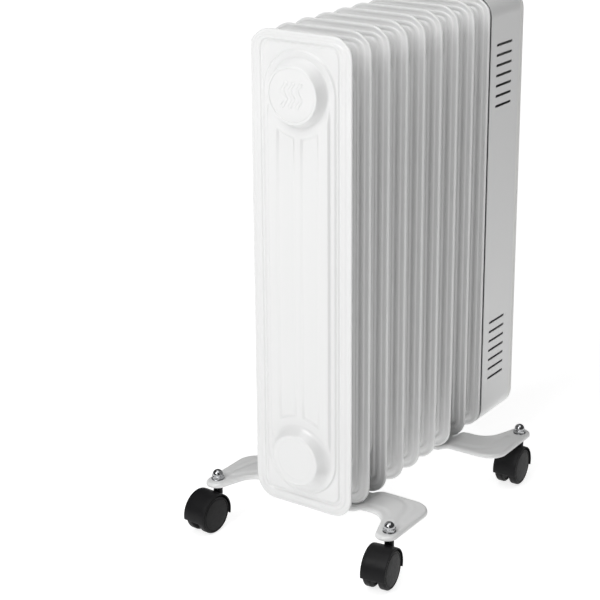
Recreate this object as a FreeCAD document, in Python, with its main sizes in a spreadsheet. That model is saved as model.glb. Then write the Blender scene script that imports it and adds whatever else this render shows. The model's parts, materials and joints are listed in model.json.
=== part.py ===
import FreeCAD, Part
import Sketcher
import math
import os

# Oil filled radiator heater on four twin-wheel casters, in millimetres.
# +X runs along the stack of fins from the plain end to the control end,
# +Y is across the fins, +Z is up and the floor is z = 0.

os.makedirs("parts", exist_ok=True)
doc = FreeCAD.newDocument("oil_filled_radiator")
V = FreeCAD.Vector

CELLS = [
    # fin stack
    ("fin_width", 125.0), ("fin_height", 530.0), ("fin_corner", 25.0), ("fin_base_z", 50.0),
    ("fin_pitch", 35.6), ("sheet", 0.6), ("hem_thick", 3.2), ("hem_wide", 3.0),
    ("stack_x", -178.4185), ("header_low", 63.0), ("header_high", 467.5),
    ("chamber_half", 43.5), ("chamber_depth", 4.0), ("plateau_half", 37.0), ("plateau_depth", 7.0),
    ("panel_in", 4.5), ("panel_out", 25.0), ("panel_ring", 47.0),
    ("boss_base", 35.5), ("boss_face", 30.0), ("header_bore", 26.0),
    # feet
    ("foot_sheet", 1.5), ("foot_lip", 5.0), ("foot_rise", 6.0), ("foot_front", -21.5), ("foot_neck", 25.3),
    ("foot_back", 71.5), ("foot_half", 125.7), ("foot_lobe_in", 104.1), ("foot_neck_y", 87.4),
    ("caster_x", 6.4), ("caster_y", 114.5), ("stem_dia", 8.0), ("pin_dia", 6.0), ("nut_flats", 13.0), ("nut_hex_high", 4.0),
    ("washer_dia", 15.0), ("washer_thick", 0.9),
    ("hook_wire", 5.0), ("hook_radius", 33.5), ("hook_leg", 76.0), ("wing_hub", 10.0), ("wing_high", 6.0),
    # casters
    ("wheel_dia", 44.0), ("wheel_wide", 9.3), ("wheel_in", 4.5), ("trail", 18.9), ("hood_gap", 0.8),
    ("hood_outer", 24.4), ("hood_half", 14.4), ("web_half", 2.5), ("axle_dia", 5.0), ("axle_play", 0.05),
    ("collar_dia", 10.5), ("collar_top", 52.6),
    # control end
    ("sleeve_start", 290.0), ("sleeve_end", 358.0), ("sleeve_wall", 1.0), ("plate_start", 302.6), ("plate_thick", 1.2),
    ("fascia_deep", 12.0), ("fascia_wall", 2.5), ("knob_z", 486.0), ("knob_dia", 42.0), ("knob_deep", 17.0),
    ("knob_gap", 0.6), ("shaft_dia", 6.0), ("shaft_play", 0.05),
    ("rocker_z", 420.0), ("rocker_y", 15.0), ("rocker_wide", 13.0), ("rocker_high", 19.0), ("lens_z", 448.0), ("lens_dia", 8.0),
    ("handle_z", 540.0), ("handle_half", 42.0), ("handle_reach", 38.0), ("handle_bar", 15.0),
    ("gland_z", 86.0), ("gland_bore", 7.4), ("element_dia", 8.0), ("element_half", 12.0), ("element_gap", 8.0),
]


class Dim:
    """A size that keeps both its value and the sheet expression behind it."""

    def __init__(self, value, text):
        self.v = float(value)
        self.s = text

    def _op(self, other, sign, flip=False):
        o = other if isinstance(other, Dim) else Dim(other, "(%r)" % float(other))
        a, b = (o, self) if flip else (self, o)
        value = {"+": a.v + b.v, "-": a.v - b.v, "*": a.v * b.v, "/": a.v / b.v if b.v else 0.0}[sign]
        return Dim(value, "(%s %s %s)" % (a.s, sign, b.s))

    def __add__(self, o): return self._op(o, "+")
    def __radd__(self, o): return self._op(o, "+", True)
    def __sub__(self, o): return self._op(o, "-")
    def __rsub__(self, o): return self._op(o, "-", True)
    def __mul__(self, o): return self._op(o, "*")
    def __rmul__(self, o): return self._op(o, "*", True)
    def __truediv__(self, o): return self._op(o, "/")
    def __rtruediv__(self, o): return self._op(o, "/", True)
    def __neg__(self): return Dim(-self.v, "(0 - %s)" % self.s)
    def root(self): return Dim(math.sqrt(self.v), "sqrt(%s)" % self.s)


def num(d):
    return d.v if isinstance(d, Dim) else float(d)


def text(d):
    return d.s if isinstance(d, Dim) else "(%r)" % float(d)


sheet = doc.addObject("Spreadsheet::Sheet", "sizes")
D = {}
for row, (alias, value) in enumerate(CELLS, 1):
    sheet.set("A%d" % row, alias)
    sheet.set("B%d" % row, repr(value))
    sheet.setAlias("B%d" % row, alias)
    D[alias] = Dim(value, "sizes." + alias)
doc.recompute()


def g(name):
    return D[name]


def bind(obj, prop, d):
    obj.setExpression(prop, text(d))


# ---------------------------------------------------------------- sketch helpers

def origin_plane(body, role):
    return [f for f in body.Origin.OriginFeatures if f.Role == role][0]


def new_body(label):
    b = doc.addObject("PartDesign::Body", label)
    b.Label = label
    return b


def sketch(owner, name, role, dx=0, dy=0, dz=0):
    """A sketch on one of its body's origin planes, moved within and off the plane."""
    s = owner.newObject("Sketcher::SketchObject", name)
    s.AttachmentSupport = [(origin_plane(owner, role), "")]
    s.MapMode = "FlatFace"
    s.AttachmentOffset = FreeCAD.Placement(V(num(dx), num(dy), num(dz)), FreeCAD.Rotation())
    for axis, d in (("x", dx), ("y", dy), ("z", dz)):
        if isinstance(d, Dim):
            bind(s, "AttachmentOffset.Base." + axis, d)
    return s


def free_sketch(name, rotation, base=(0, 0, 0)):
    """A sketch of a Part workbench feature, placed by its own Placement."""
    s = doc.addObject("Sketcher::SketchObject", name)
    s.Placement = FreeCAD.Placement(V(*[num(b) for b in base]), rotation)
    for axis, d in zip("xyz", base):
        if isinstance(d, Dim):
            bind(s, "Placement.Base." + axis, d)
    return s


def pin(s, geo, pos, x, y):
    k = s.addConstraint(Sketcher.Constraint("DistanceX", -1, 1, geo, pos, num(x)))
    bind(s, "Constraints[%d]" % k, x)
    k = s.addConstraint(Sketcher.Constraint("DistanceY", -1, 1, geo, pos, num(y)))
    bind(s, "Constraints[%d]" % k, y)


def polygon(s, pts):
    first = s.GeometryCount
    n = len(pts)
    for i in range(n):
        a, b = pts[i], pts[(i + 1) % n]
        s.addGeometry(Part.LineSegment(V(num(a[0]), num(a[1]), 0), V(num(b[0]), num(b[1]), 0)))
    for i in range(n):
        s.addConstraint(Sketcher.Constraint("Coincident", first + i, 2, first + (i + 1) % n, 1))
    for i in range(n):
        pin(s, first + i, 1, *pts[i])
    return first


def circle(s, x, y, r):
    i = s.addGeometry(Part.Circle(V(num(x), num(y), 0), V(0, 0, 1), num(r)))
    pin(s, i, 3, x, y)
    k = s.addConstraint(Sketcher.Constraint("Radius", i, num(r)))
    bind(s, "Constraints[%d]" % k, r)
    return i


def arc_through(s, cx, cy, r, a0, a1):
    c = Part.Circle(V(num(cx), num(cy), 0), V(0, 0, 1), num(r))
    return s.addGeometry(Part.ArcOfCircle(c, math.radians(a0), math.radians(a1)))


def rounded_rect(s, half_x, half_y, r, cx=0, cy=0):
    """A rectangle with four round corners about a centre."""
    quad = [(1, -1, 270), (1, 1, 0), (-1, 1, 90), (-1, -1, 180)]
    arcs = []
    for sx, sy, a in quad:
        x = cx + (half_x - r) * sx
        y = cy + (half_y - r) * sy
        i = arc_through(s, x, y, r, a, a + 90)
        arcs.append(i)
        pin(s, i, 3, x, y)
        k = s.addConstraint(Sketcher.Constraint("Radius", i, num(r)))
        bind(s, "Constraints[%d]" % k, r)
    for n, i in enumerate(arcs):
        j = arcs[(n + 1) % 4]
        ga, gb = s.Geometry[i], s.Geometry[j]
        line = s.addGeometry(Part.LineSegment(ga.EndPoint, gb.StartPoint))
        s.addConstraint(Sketcher.Constraint("Tangent", i, 2, line, 1))
        s.addConstraint(Sketcher.Constraint("Tangent", line, 2, j, 1))


def stadium(s, half, low, high):
    """Two half circles about (0, low) and (0, high), joined by straight sides."""
    top = arc_through(s, 0, high, half, 0, 180)
    bottom = arc_through(s, 0, low, half, 180, 360)
    for i, y in ((top, high), (bottom, low)):
        pin(s, i, 3, 0, y)
        k = s.addConstraint(Sketcher.Constraint("Radius", i, num(half)))
        bind(s, "Constraints[%d]" % k, half)
    for i, j in ((top, bottom), (bottom, top)):
        line = s.addGeometry(Part.LineSegment(s.Geometry[i].EndPoint, s.Geometry[j].StartPoint))
        s.addConstraint(Sketcher.Constraint("Tangent", i, 2, line, 1))
        s.addConstraint(Sketcher.Constraint("Tangent", line, 2, j, 1))


# ---------------------------------------------------------------- feature helpers

def pad(body, s, length, mid=False, back=False, name="pad"):
    f = body.newObject("PartDesign::Pad", name)
    f.Profile = s
    f.Midplane = mid
    f.Reversed = back
    f.Length = num(length)
    bind(f, "Length", length)
    s.Visibility = False
    body.Tip = f
    return f


def pocket(body, s, length, mid=False, back=False, name="pocket"):
    f = body.newObject("PartDesign::Pocket", name)
    f.Profile = s
    f.Midplane = mid
    f.Reversed = back
    f.Length = num(length)
    bind(f, "Length", length)
    body.Tip = f
    return f


def turn(body, s, axis, cut=False, name="turn"):
    f = body.newObject("PartDesign::Groove" if cut else "PartDesign::Revolution", name)
    f.Profile = s
    f.ReferenceAxis = (s, [axis])
    f.Angle = 360.0
    body.Tip = f
    return f


def cut_checked(body, make):
    """Runs a cutting feature and stops if it removed nothing."""
    doc.recompute()
    before = body.Shape.Volume
    f = make()
    doc.recompute()
    if not body.Shape.Volume < before - 1e-3:
        raise SystemExit("a cut removed nothing in " + body.Label)
    return f


def clone(source, label):
    b = doc.addObject("PartDesign::Body", label)
    b.Label = label
    f = b.newObject("PartDesign::FeatureBase", label + "_base")
    f.BaseFeature = source
    b.Tip = f
    return b


def round_corners(body, corners):
    """Fillets the upright edges of a padded polygon. Each corner is (x, y, radius)."""
    for n, (x, y, r) in enumerate(corners):
        doc.recompute()
        last = body.Tip
        found = []
        for k, e in enumerate(last.Shape.Edges, 1):
            a, b = e.Vertexes[0].Point, e.Vertexes[-1].Point
            if abs(a.z - b.z) > 1 and all(abs(q.x - num(x)) < 0.02 and abs(q.y - num(y)) < 0.02 for q in (a, b)):
                found.append("Edge%d" % k)
        if len(found) != 1:
            raise SystemExit("corner %d of %s not found" % (n, body.Label))
        f = body.newObject("PartDesign::Fillet", "%s_corner_%d" % (body.Label, n))
        f.Base = (last, found)
        f.Radius = num(r)
        bind(f, "Radius", r)
        body.Tip = f


def place(obj, x=0, y=0, z=0, rot=None):
    obj.Placement = FreeCAD.Placement(V(num(x), num(y), num(z)), rot or FreeCAD.Rotation())
    for axis, d in (("x", x), ("y", y), ("z", z)):
        if isinstance(d, Dim):
            bind(obj, "Placement.Base." + axis, d)


def box(label, x0, x1, y0, y1, z0, z1):
    b = doc.addObject("Part::Box", label)
    b.Label = label
    for prop, a, c in (("Length", x0, x1), ("Width", y0, y1), ("Height", z0, z1)):
        d = (c if isinstance(c, Dim) else Dim(c, text(c))) - a
        setattr(b, prop, d.v)
        bind(b, prop, d)
    place(b, x0, y0, z0)
    return b


def cylinder(label, r, length, base, axis="z"):
    c = doc.addObject("Part::Cylinder", label)
    c.Label = label
    c.Radius = num(r)
    c.Height = num(length)
    bind(c, "Radius", r)
    bind(c, "Height", length)
    rot = {"z": FreeCAD.Rotation(), "x": FreeCAD.Rotation(V(0, 1, 0), 90), "y": FreeCAD.Rotation(V(1, 0, 0), -90)}[axis]
    place(c, base[0], base[1], base[2], rot)
    return c


def fuse(label, items):
    f = doc.addObject("Part::MultiFuse", label)
    f.Label = label
    f.Shapes = items
    return f


def cut(label, a, b):
    f = doc.addObject("Part::Cut", label)
    f.Label = label
    f.Base = a
    f.Tool = b
    return f


def group(label, items):
    c = doc.addObject("Part::Compound", label)
    c.Label = label
    c.Links = items
    return c


nodes = []


def keep(*objects):
    nodes.extend(objects)


X0 = g("stack_x")
Z0 = g("fin_base_z")
PITCH = g("fin_pitch")
LAST = PITCH * 8

# ---------------------------------------------------------------- fins
# One pressed and welded section: two sheets that meet in a hemmed flange, with a hollow chamber, three raised oil
# channels, two flat panels where the sheets touch, and a header boss at each end. Local z = 0 is its bottom edge.

H = g("fin_height")
W = g("fin_width")
LOW, HIGH = g("header_low"), g("header_high")
T = g("sheet")

fin = new_body("fin_pattern")
s = sketch(fin, "flange_outline", "YZ_Plane")
rounded_rect(s, W / 2, H / 2, g("fin_corner"), 0, H / 2)
pad(fin, s, T * 2, mid=True, name="flange")
s = sketch(fin, "hem_outline", "YZ_Plane")
rounded_rect(s, W / 2, H / 2, g("fin_corner"), 0, H / 2)
rounded_rect(s, W / 2 - g("hem_wide"), H / 2 - g("hem_wide"), g("fin_corner") - g("hem_wide"), 0, H / 2)
pad(fin, s, g("hem_thick"), mid=True, name="hem")


def panels(s, grow, ring):
    """Two long panels between the centre rib and the side channels, with ends that follow the header rings."""
    a = g("panel_in") - grow
    b = g("panel_out") + grow
    for side in (1, -1):
        za = HIGH - (ring * ring - a * a).root()
        zb = HIGH - (ring * ring - b * b).root()
        ya = LOW + (ring * ring - a * a).root()
        yb = LOW + (ring * ring - b * b).root()
        first = polygon(s, [(a * side, ya), (b * side, yb), (b * side, zb), (a * side, za)])


s = sketch(fin, "chamber_outline", "YZ_Plane")
stadium(s, g("chamber_half"), LOW, HIGH)
panels(s, 0, g("panel_ring"))
pad(fin, s, g("chamber_depth") * 2, mid=True, name="chamber")
s = sketch(fin, "plateau_outline", "YZ_Plane")
stadium(s, g("plateau_half"), LOW, HIGH)
panels(s, 0, g("panel_ring"))
pad(fin, s, g("plateau_depth") * 2, mid=True, name="plateau")

FACE = PITCH / 2
for which, zc in (("low", LOW), ("high", HIGH)):
    s = sketch(fin, "boss_%s_profile" % which, "XZ_Plane", dy=zc)
    polygon(s, [(-FACE, 0), (-FACE, g("boss_face")), (-3, g("boss_base")), (3, g("boss_base")), (FACE, g("boss_face")), (FACE, 0)])
    turn(fin, s, "H_Axis", name="boss_" + which)
doc.recompute()

s = sketch(fin, "chamber_inside", "YZ_Plane")
stadium(s, g("chamber_half") - T, LOW, HIGH)
panels(s, T, g("panel_ring") - T)
cut_checked(fin, lambda: pocket(fin, s, (g("chamber_depth") - T) * 2, mid=True, name="chamber_hollow"))
s = sketch(fin, "plateau_inside", "YZ_Plane")
stadium(s, g("plateau_half") - T, LOW, HIGH)
panels(s, T, g("panel_ring") - T)
cut_checked(fin, lambda: pocket(fin, s, (g("plateau_depth") - T) * 2, mid=True, name="plateau_hollow"))
for which, zc in (("low", LOW), ("high", HIGH)):
    s = sketch(fin, "header_%s_profile" % which, "XZ_Plane", dy=zc)
    inner = FACE - T
    polygon(s, [
        (-FACE, 0), (-FACE, g("header_bore")), (-inner, g("header_bore")), (-inner, g("boss_face") - T * 1.3),
        (-3, g("boss_base") - T * 1.3), (3, g("boss_base") - T * 1.3), (inner, g("boss_face") - T * 1.3),
        (inner, g("header_bore")), (FACE, g("header_bore")), (FACE, 0)])
    cut_checked(fin, lambda: turn(fin, s, "H_Axis", cut=True, name="header_" + which))

for i in range(1, 10):
    b = clone(fin, "fin_%d" % i)
    if i == 1:
        # the plain end has both headers closed by the sheet's own face
        for which, zc in (("low", LOW), ("high", HIGH)):
            s = sketch(b, "end_face_" + which, "YZ_Plane", dy=zc, dz=-FACE)
            circle(s, 0, 0, g("boss_face"))
            pad(b, s, T, name="closed_face_" + which)
    if i == 9:
        # the control end's lower header takes the heating elements and its upper header the filler plug
        for which, zc, hole in (("low", LOW, 22.0), ("high", HIGH, 5.05)):
            s = sketch(b, "rear_face_" + which, "YZ_Plane", dy=zc, dz=FACE)
            circle(s, 0, 0, g("boss_face"))
            circle(s, 0, 0, hole)
            pad(b, s, T, back=True, name="rear_face_" + which)
    place(b, X0 + PITCH * (i - 1), 0, Z0)
    keep(b)

# ---------------------------------------------------------------- heating elements and header plugs
HZ = Z0 + LOW
for n, side in (("1", 1), ("2", -1)):
    y = g("element_gap") * side
    r = g("element_dia") / 2
    e = g("element_half")
    start = X0 + 24
    length = LAST + 40 - 24
    legs = [cylinder("element_%s_leg_%d" % (n, k), r, length, (start, y, HZ + e * k), "x") for k in (1, -1)]
    bend = doc.addObject("Part::Torus", "element_%s_bend" % n)
    bend.Radius1, bend.Radius2 = e.v, r.v
    bind(bend, "Radius1", e)
    bind(bend, "Radius2", r)
    bend.Angle3 = 180
    place(bend, start, y, HZ, FreeCAD.Rotation(V(1, 0, 0), V(0, 0, 0), V(0, 1, 0), "XZY"))
    bend.Placement = FreeCAD.Placement(bend.Placement.Base, FreeCAD.Rotation(V(0, 0, 1), V(-1, 0, 0), V(0, -1, 0), "ZXY"))
    pins = [cylinder("element_%s_pin_%d" % (n, k), 1.5, 14, (start + length, y, HZ + e * k), "x") for k in (1, -1)]
    keep(fuse("heating_element_" + n, legs + [bend] + pins))

flange = new_body("element_flange")
s = sketch(flange, "flange_disc", "YZ_Plane")
circle(s, 0, 0, 27)
pad(flange, s, 4, name="disc")
s = sketch(flange, "flange_spigot", "YZ_Plane")
circle(s, 0, 0, 21.9)
pad(flange, s, 3, back=True, name="spigot")
s = sketch(flange, "element_holes", "YZ_Plane", dz=-4)
for sy in (1, -1):
    for sz in (1, -1):
        circle(s, g("element_gap") * sy, g("element_half") * sz, g("element_dia") / 2)
cut_checked(flange, lambda: pocket(flange, s, 10, back=True, name="holes"))
place(flange, X0 + LAST + FACE, 0, HZ)
keep(flange)

plug = new_body("filler_plug")
s = sketch(plug, "plug_head", "YZ_Plane")
circle(s, 0, 0, 8)
pad(plug, s, 3, name="head")
s = sketch(plug, "plug_shank", "YZ_Plane")
circle(s, 0, 0, 5)
pad(plug, s, 6, back=True, name="shank")
place(plug, X0 + LAST + FACE, 0, Z0 + HIGH)
keep(plug)

# ---------------------------------------------------------------- feet
# A pressed plate under the second and third fins. It dips under their straight bottom edges, follows their round corners
# up, and each end spreads outwards into a lobe that carries a caster. A lip is turned down all round.

RX = FreeCAD.Rotation(V(0, 1, 0), V(0, 0, 1), V(1, 0, 0), "ZXY")   # sketch x -> Y, y -> Z, normal -> X


def plan(name, inset):
    """The plate's outline seen from above, as a tall block."""
    e = inset
    half = [(g("foot_neck") + e, g("foot_neck_y") + e * 0.7, 24 + e), (g("foot_front") + e, g("foot_lobe_in") + e * 0.7, 11.5 - e),
            (g("foot_front") + e, g("foot_half") - e, 12 - e), (g("foot_back") - e, g("foot_half") - e, 17 - e)]
    verts = half + [(x, -y, r) for x, y, r in reversed(half)]
    b = new_body(name)
    s = sketch(b, name + "_outline", "XY_Plane", dz=-20)
    polygon(s, [(x, y) for x, y, r in verts])
    pad(b, s, 40, name=name + "_block")
    round_corners(b, verts)
    return b


def side(name, top, bottom):
    """The plate's section across the object: low under the fins, with a soft S-bend up past their corners."""
    s = free_sketch(name, RX, (g("foot_front") - 10, 0, 0))
    rise = g("foot_rise")
    bend = [(44, 0.0), (47, 0.1), (50, 0.35), (54, 0.75), (57, 0.95), (60, 1.0), (140, 1.0)]
    up = [(-y, k) for y, k in reversed(bend)] + bend
    polygon(s, [(y, rise * k + top) for y, k in up] + [(y, rise * k + bottom) for y, k in reversed(up)])
    return s


def extrude(name, s, length, direction):
    f = doc.addObject("Part::Extrusion", name)
    f.Base = s
    f.DirMode = "Custom"
    f.Dir = V(*direction)
    f.LengthFwd = num(length)
    bind(f, "LengthFwd", length)
    f.Solid = True
    return f


def common(name, a, b):
    f = doc.addObject("Part::MultiCommon", name)
    f.Shapes = [a, b]
    return f


reach = g("foot_back") - g("foot_front") + 20
outer = common("foot_blank", extrude("foot_blank_side", side("foot_side", 0, -g("foot_lip")), reach, (1, 0, 0)),
               plan("foot_plan", 0 * g("foot_sheet")))
inner = common("foot_core", extrude("foot_core_side", side("foot_side_low", -g("foot_sheet"), -g("foot_lip") - 1), reach, (1, 0, 0)),
               plan("foot_plan_low", g("foot_sheet")))
shell = cut("foot_shell", outer, inner)
holes = []
for sy in (1, -1):
    holes.append(cylinder("foot_stem_hole_%d" % sy, g("stem_dia") / 2 + 0.1, 30, (-g("caster_x"), g("caster_y") * sy, -15)))
    holes.append(cylinder("foot_hook_hole_%d" % sy, g("hook_wire") / 2 + 0.2, 30, (PITCH * 1.5, g("hook_radius") * sy, -15)))
foot = cut("foot_pattern", shell, fuse("foot_holes", holes))
doc.recompute()
half_turn = FreeCAD.Rotation(V(0, 0, 1), 180)
front = clone(foot, "front_foot_plate")
place(front, X0, 0, Z0)
rear = clone(foot, "rear_foot_plate")
place(rear, X0 + LAST, 0, Z0, half_turn)
keep(front, rear)

# hooks: a bent wire over the lower header's neck, with both threaded ends through the plate, held by wing nuts
wire = g("hook_wire") / 2
wings = []
for label, x in (("front_foot_hook", X0 + PITCH * 1.5), ("rear_foot_hook", X0 + PITCH * 6.5)):
    bow = doc.addObject("Part::Torus", label + "_bow")
    bow.Radius1, bow.Radius2, bow.Angle3 = g("hook_radius").v, wire.v, 180
    bind(bow, "Radius1", g("hook_radius"))
    bind(bow, "Radius2", wire)
    place(bow, x, 0, HZ, RX)
    legs = [cylinder("%s_leg_%d" % (label, sy), wire, g("hook_leg"), (x, g("hook_radius") * sy, HZ - g("hook_leg"))) for sy in (1, -1)]
    keep(fuse(label, [bow] + legs))
    for sy in (1, -1):
        name = "wing_nut_%s_%d" % (label[:5], sy)
        y = g("hook_radius") * sy
        zt = Z0 - g("foot_sheet")
        hub = cylinder(name + "_hub", g("wing_hub") / 2, g("wing_high"), (x, y, zt - g("wing_high")))
        wing = box(name + "_wings", x - 11, x + 11, y - 1, y + 1, zt - g("wing_high") - 3, zt - 1.5)
        bore = cylinder(name + "_bore", wire + 0.02, g("wing_high") + 8, (x, y, zt - g("wing_high") - 4))
        wings.append(cut(name, fuse(name + "_blank", [hub, wing]), bore))
keep(group("wing_nuts", wings))

# ---------------------------------------------------------------- casters
# Local origin on the floor under the swivel axis; the wheels trail towards -X.
R = g("wheel_dia") / 2
axle_z = R

hood = new_body("hood_pattern")
s = sketch(hood, "hood_ring", "XZ_Plane", dx=-g("trail"), dy=axle_z)
inner_r, outer_r = R + g("hood_gap"), g("hood_outer")
low_a, high_a = math.radians(-16), math.radians(190)


def sector(s, r_in, r_out, a0, a1):
    o = s.addGeometry(Part.ArcOfCircle(Part.Circle(V(0, 0, 0), V(0, 0, 1), num(r_out)), a0, a1))
    i = s.addGeometry(Part.ArcOfCircle(Part.Circle(V(0, 0, 0), V(0, 0, 1), num(r_in)), a0, a1))
    l1 = s.addGeometry(Part.LineSegment(s.Geometry[i].StartPoint, s.Geometry[o].StartPoint))
    l2 = s.addGeometry(Part.LineSegment(s.Geometry[o].EndPoint, s.Geometry[i].EndPoint))
    for c in (("Coincident", i, 1, l1, 1), ("Coincident", l1, 2, o, 1), ("Coincident", o, 2, l2, 1), ("Coincident", l2, 2, i, 2),
              ("Coincident", i, 3, -1, 1), ("Coincident", o, 3, -1, 1)):
        s.addConstraint(Sketcher.Constraint(*c))
    for k, r in ((o, r_out), (i, r_in)):
        c = s.addConstraint(Sketcher.Constraint("Radius", k, num(r)))
        bind(s, "Constraints[%d]" % c, r)


sector(s, inner_r, outer_r, low_a, high_a)
pad(hood, s, g("hood_half") * 2, mid=True, name="hood")
# the web between the wheels: hung from the hood down to just past the axle
s = sketch(hood, "web_outline", "XZ_Plane", dx=-g("trail"), dy=axle_z)
w = inner_r + 0.5
polygon(s, [(-w * 0.93, 0), (-8, -9), (8, -9), (w * 0.95, 0), (w * 0.7, w * 0.7), (0, w), (-w * 0.7, w * 0.7)])
pad(hood, s, g("web_half") * 2, mid=True, name="web")
s = sketch(hood, "collar_outline", "XY_Plane", dz=37.6)
circle(s, 0, 0, g("collar_dia") / 2)
pad(hood, s, g("collar_top") - 37.6, name="collar")
# a slimmer boss carries the pin down between the wheels
s = sketch(hood, "boss_outline", "XY_Plane", dz=axle_z - 2)
circle(s, 0, 0, g("pin_dia") / 2 + 1.2)
pad(hood, s, 18.6, name="boss")
s = sketch(hood, "stem_bore", "XY_Plane", dz=axle_z + 1.8)
circle(s, 0, 0, g("pin_dia") / 2 + 0.05)
cut_checked(hood, lambda: pocket(hood, s, 40, back=True, name="stem_socket"))
s = sketch(hood, "axle_bore", "XZ_Plane", dx=-g("trail"), dy=axle_z)
circle(s, 0, 0, g("axle_dia") / 2)
cut_checked(hood, lambda: pocket(hood, s, 12, mid=True, name="axle_hole"))

# a wheel: tread with eased edges, a plain outer face, and a blind bore that turns on the axle
wheel_src = new_body("wheel_pattern")
s = sketch(wheel_src, "wheel_section", "XY_Plane")
hw = g("wheel_wide")
bore = g("axle_dia") / 2 + g("axle_play")
polygon(s, [(bore, 0), (R - 1.2, 0), (R, 1.4), (R, hw - 2.2), (R - 2.0, hw - 0.6), (R - 5, hw - 0.2), (0, hw), (0, hw - 1.5), (bore, hw - 1.5)])
turn(wheel_src, s, "V_Axis", name="wheel")

stem_src = new_body("stem_pattern")
s = sketch(stem_src, "stem_section", "XZ_Plane")
sr = g("stem_dia") / 2
seat = Z0 + g("foot_rise") - g("foot_sheet")
pr = g("pin_dia") / 2
polygon(s, [(0, axle_z + 2.5), (pr, axle_z + 2.5), (pr, g("collar_top") + 0.3), (6.5, g("collar_top") + 0.3), (6.5, seat), (sr, seat),
            (sr, seat + g("foot_sheet") + 7.5), (0, seat + g("foot_sheet") + 7.5)])
turn(stem_src, s, "V_Axis", name="stem")

axle_src = new_body("axle_pattern")
s = sketch(axle_src, "axle_section", "XZ_Plane", dx=-g("trail"), dy=axle_z)
circle(s, 0, 0, g("axle_dia") / 2)
pad(axle_src, s, (g("wheel_in") + hw - 1.7) * 2, mid=True, name="pin")

nut_src = new_body("dome_nut_pattern")
s = sketch(nut_src, "nut_hexagon", "XY_Plane")
k = g("nut_flats") / math.sqrt(3)
polygon(s, [(k * math.cos(math.radians(a)), k * math.sin(math.radians(a))) for a in range(0, 360, 60)])
pad(nut_src, s, g("nut_hex_high"), name="hexagon")
s = sketch(nut_src, "nut_dome", "XZ_Plane")
f = g("nut_flats") / 2
dome = [((f - 0.3) * math.cos(math.radians(a)), g("nut_hex_high") + 0.2 + (f - 0.3) * math.sin(math.radians(a))) for a in (0, 18, 36, 54, 72)]
polygon(s, [(0, 0), (f - 0.3, 0)] + dome + [(0, g("nut_hex_high") + 0.2 + (f - 0.3))])
turn(nut_src, s, "V_Axis", name="dome")
s = sketch(nut_src, "nut_bore", "XY_Plane")
circle(s, 0, 0, sr)
cut_checked(nut_src, lambda: pocket(nut_src, s, 7.5, back=True, name="thread"))

washer_src = new_body("washer_pattern")
s = sketch(washer_src, "washer_ring", "XY_Plane")
circle(s, 0, 0, g("washer_dia") / 2)
circle(s, 0, 0, sr + 0.1)
pad(washer_src, s, g("washer_thick"), name="washer")
doc.recompute()

# swivel angle of each caster at rest, in degrees about +Z
CASTERS = [("front_left", 0, 1, -3.6), ("front_right", 0, -1, 7.2), ("rear_left", 1, 1, -7.2), ("rear_right", 1, -1, 3.6)]
nuts, washers = [], []
for name, end, sy, turn_deg in CASTERS:
    x = X0 - g("caster_x") if end == 0 else X0 + LAST + g("caster_x")
    y = g("caster_y") * sy
    rot = FreeCAD.Rotation(V(0, 0, 1), turn_deg)
    b = clone(hood, name + "_caster_hood")
    place(b, x, y, 0, rot)
    st = clone(stem_src, name + "_caster_stem")
    place(st, x, y, 0, rot)
    ax = clone(axle_src, name + "_caster_axle")
    place(ax, x, y, 0, rot)
    keep(b, st, ax)
    for which, sgn in (("inner", -sy), ("outer", sy)):
        wb = clone(wheel_src, "%s_%s_wheel" % (name, which))
        off = rot.multVec(V(-g("trail").v, sgn * g("wheel_in").v, 0))
        side_rot = FreeCAD.Rotation() if sgn > 0 else FreeCAD.Rotation(V(0, 0, 1), 180)
        ca, sa = math.cos(math.radians(turn_deg)), math.sin(math.radians(turn_deg))
        px = x - g("trail") * ca - g("wheel_in") * (sgn * sa)
        py = y - g("trail") * sa + g("wheel_in") * (sgn * ca)
        place(wb, px, py, axle_z, rot.multiply(side_rot))
        keep(wb)
    wa = clone(washer_src, name + "_washer")
    place(wa, x, y, Z0 + g("foot_rise"))
    washers.append(wa)
    nu = clone(nut_src, name + "_dome_nut")
    place(nu, x, y, Z0 + g("foot_rise") + g("washer_thick"), FreeCAD.Rotation(V(0, 0, 1), 17 * sy))
    nuts.append(nu)
keep(group("dome_nuts", nuts), group("nut_washers", washers))

# ---------------------------------------------------------------- control end
SX0, SX1 = X0 + g("sleeve_start"), X0 + g("sleeve_end")
housing = new_body("control_housing")
s = sketch(housing, "sleeve_outline", "YZ_Plane")
rounded_rect(s, W / 2, H / 2, g("fin_corner"), 0, H / 2)
wall = g("sleeve_wall")
rounded_rect(s, W / 2 - wall, H / 2 - wall, g("fin_corner") - wall, 0, H / 2)
pad(housing, s, g("sleeve_end") - g("sleeve_start"), name="sleeve")
for where, zc in (("low", 60), ("high", 400)):
    s = sketch(housing, "vent_%s" % where, "XZ_Plane", dy=zc)
    rounded_rect(s, 19, 1.6, 1.5, 32, 0)
    p = pocket(housing, s, 140, mid=True, name="vent_" + where)
    doc.recompute()
    pat = housing.newObject("PartDesign::LinearPattern", "vents_" + where)
    pat.Originals = [p]
    pat.Direction = (s, ["V_Axis"])
    pat.Length = 72
    pat.Occurrences = 7
    housing.Tip = pat
    doc.recompute()
place(housing, SX0, 0, Z0)
keep(housing)

mount = new_body("mounting_plate")
s = sketch(mount, "mount_outline", "YZ_Plane")
gap = wall
rounded_rect(s, W / 2 - gap, H / 2 - gap, g("fin_corner") - gap, 0, H / 2)
circle(s, 0, LOW, 27.5)
circle(s, 0, HIGH, 8.5)
pad(mount, s, g("plate_thick"), name="plate")
place(mount, X0 + g("plate_start"), 0, Z0)
keep(mount)

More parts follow.
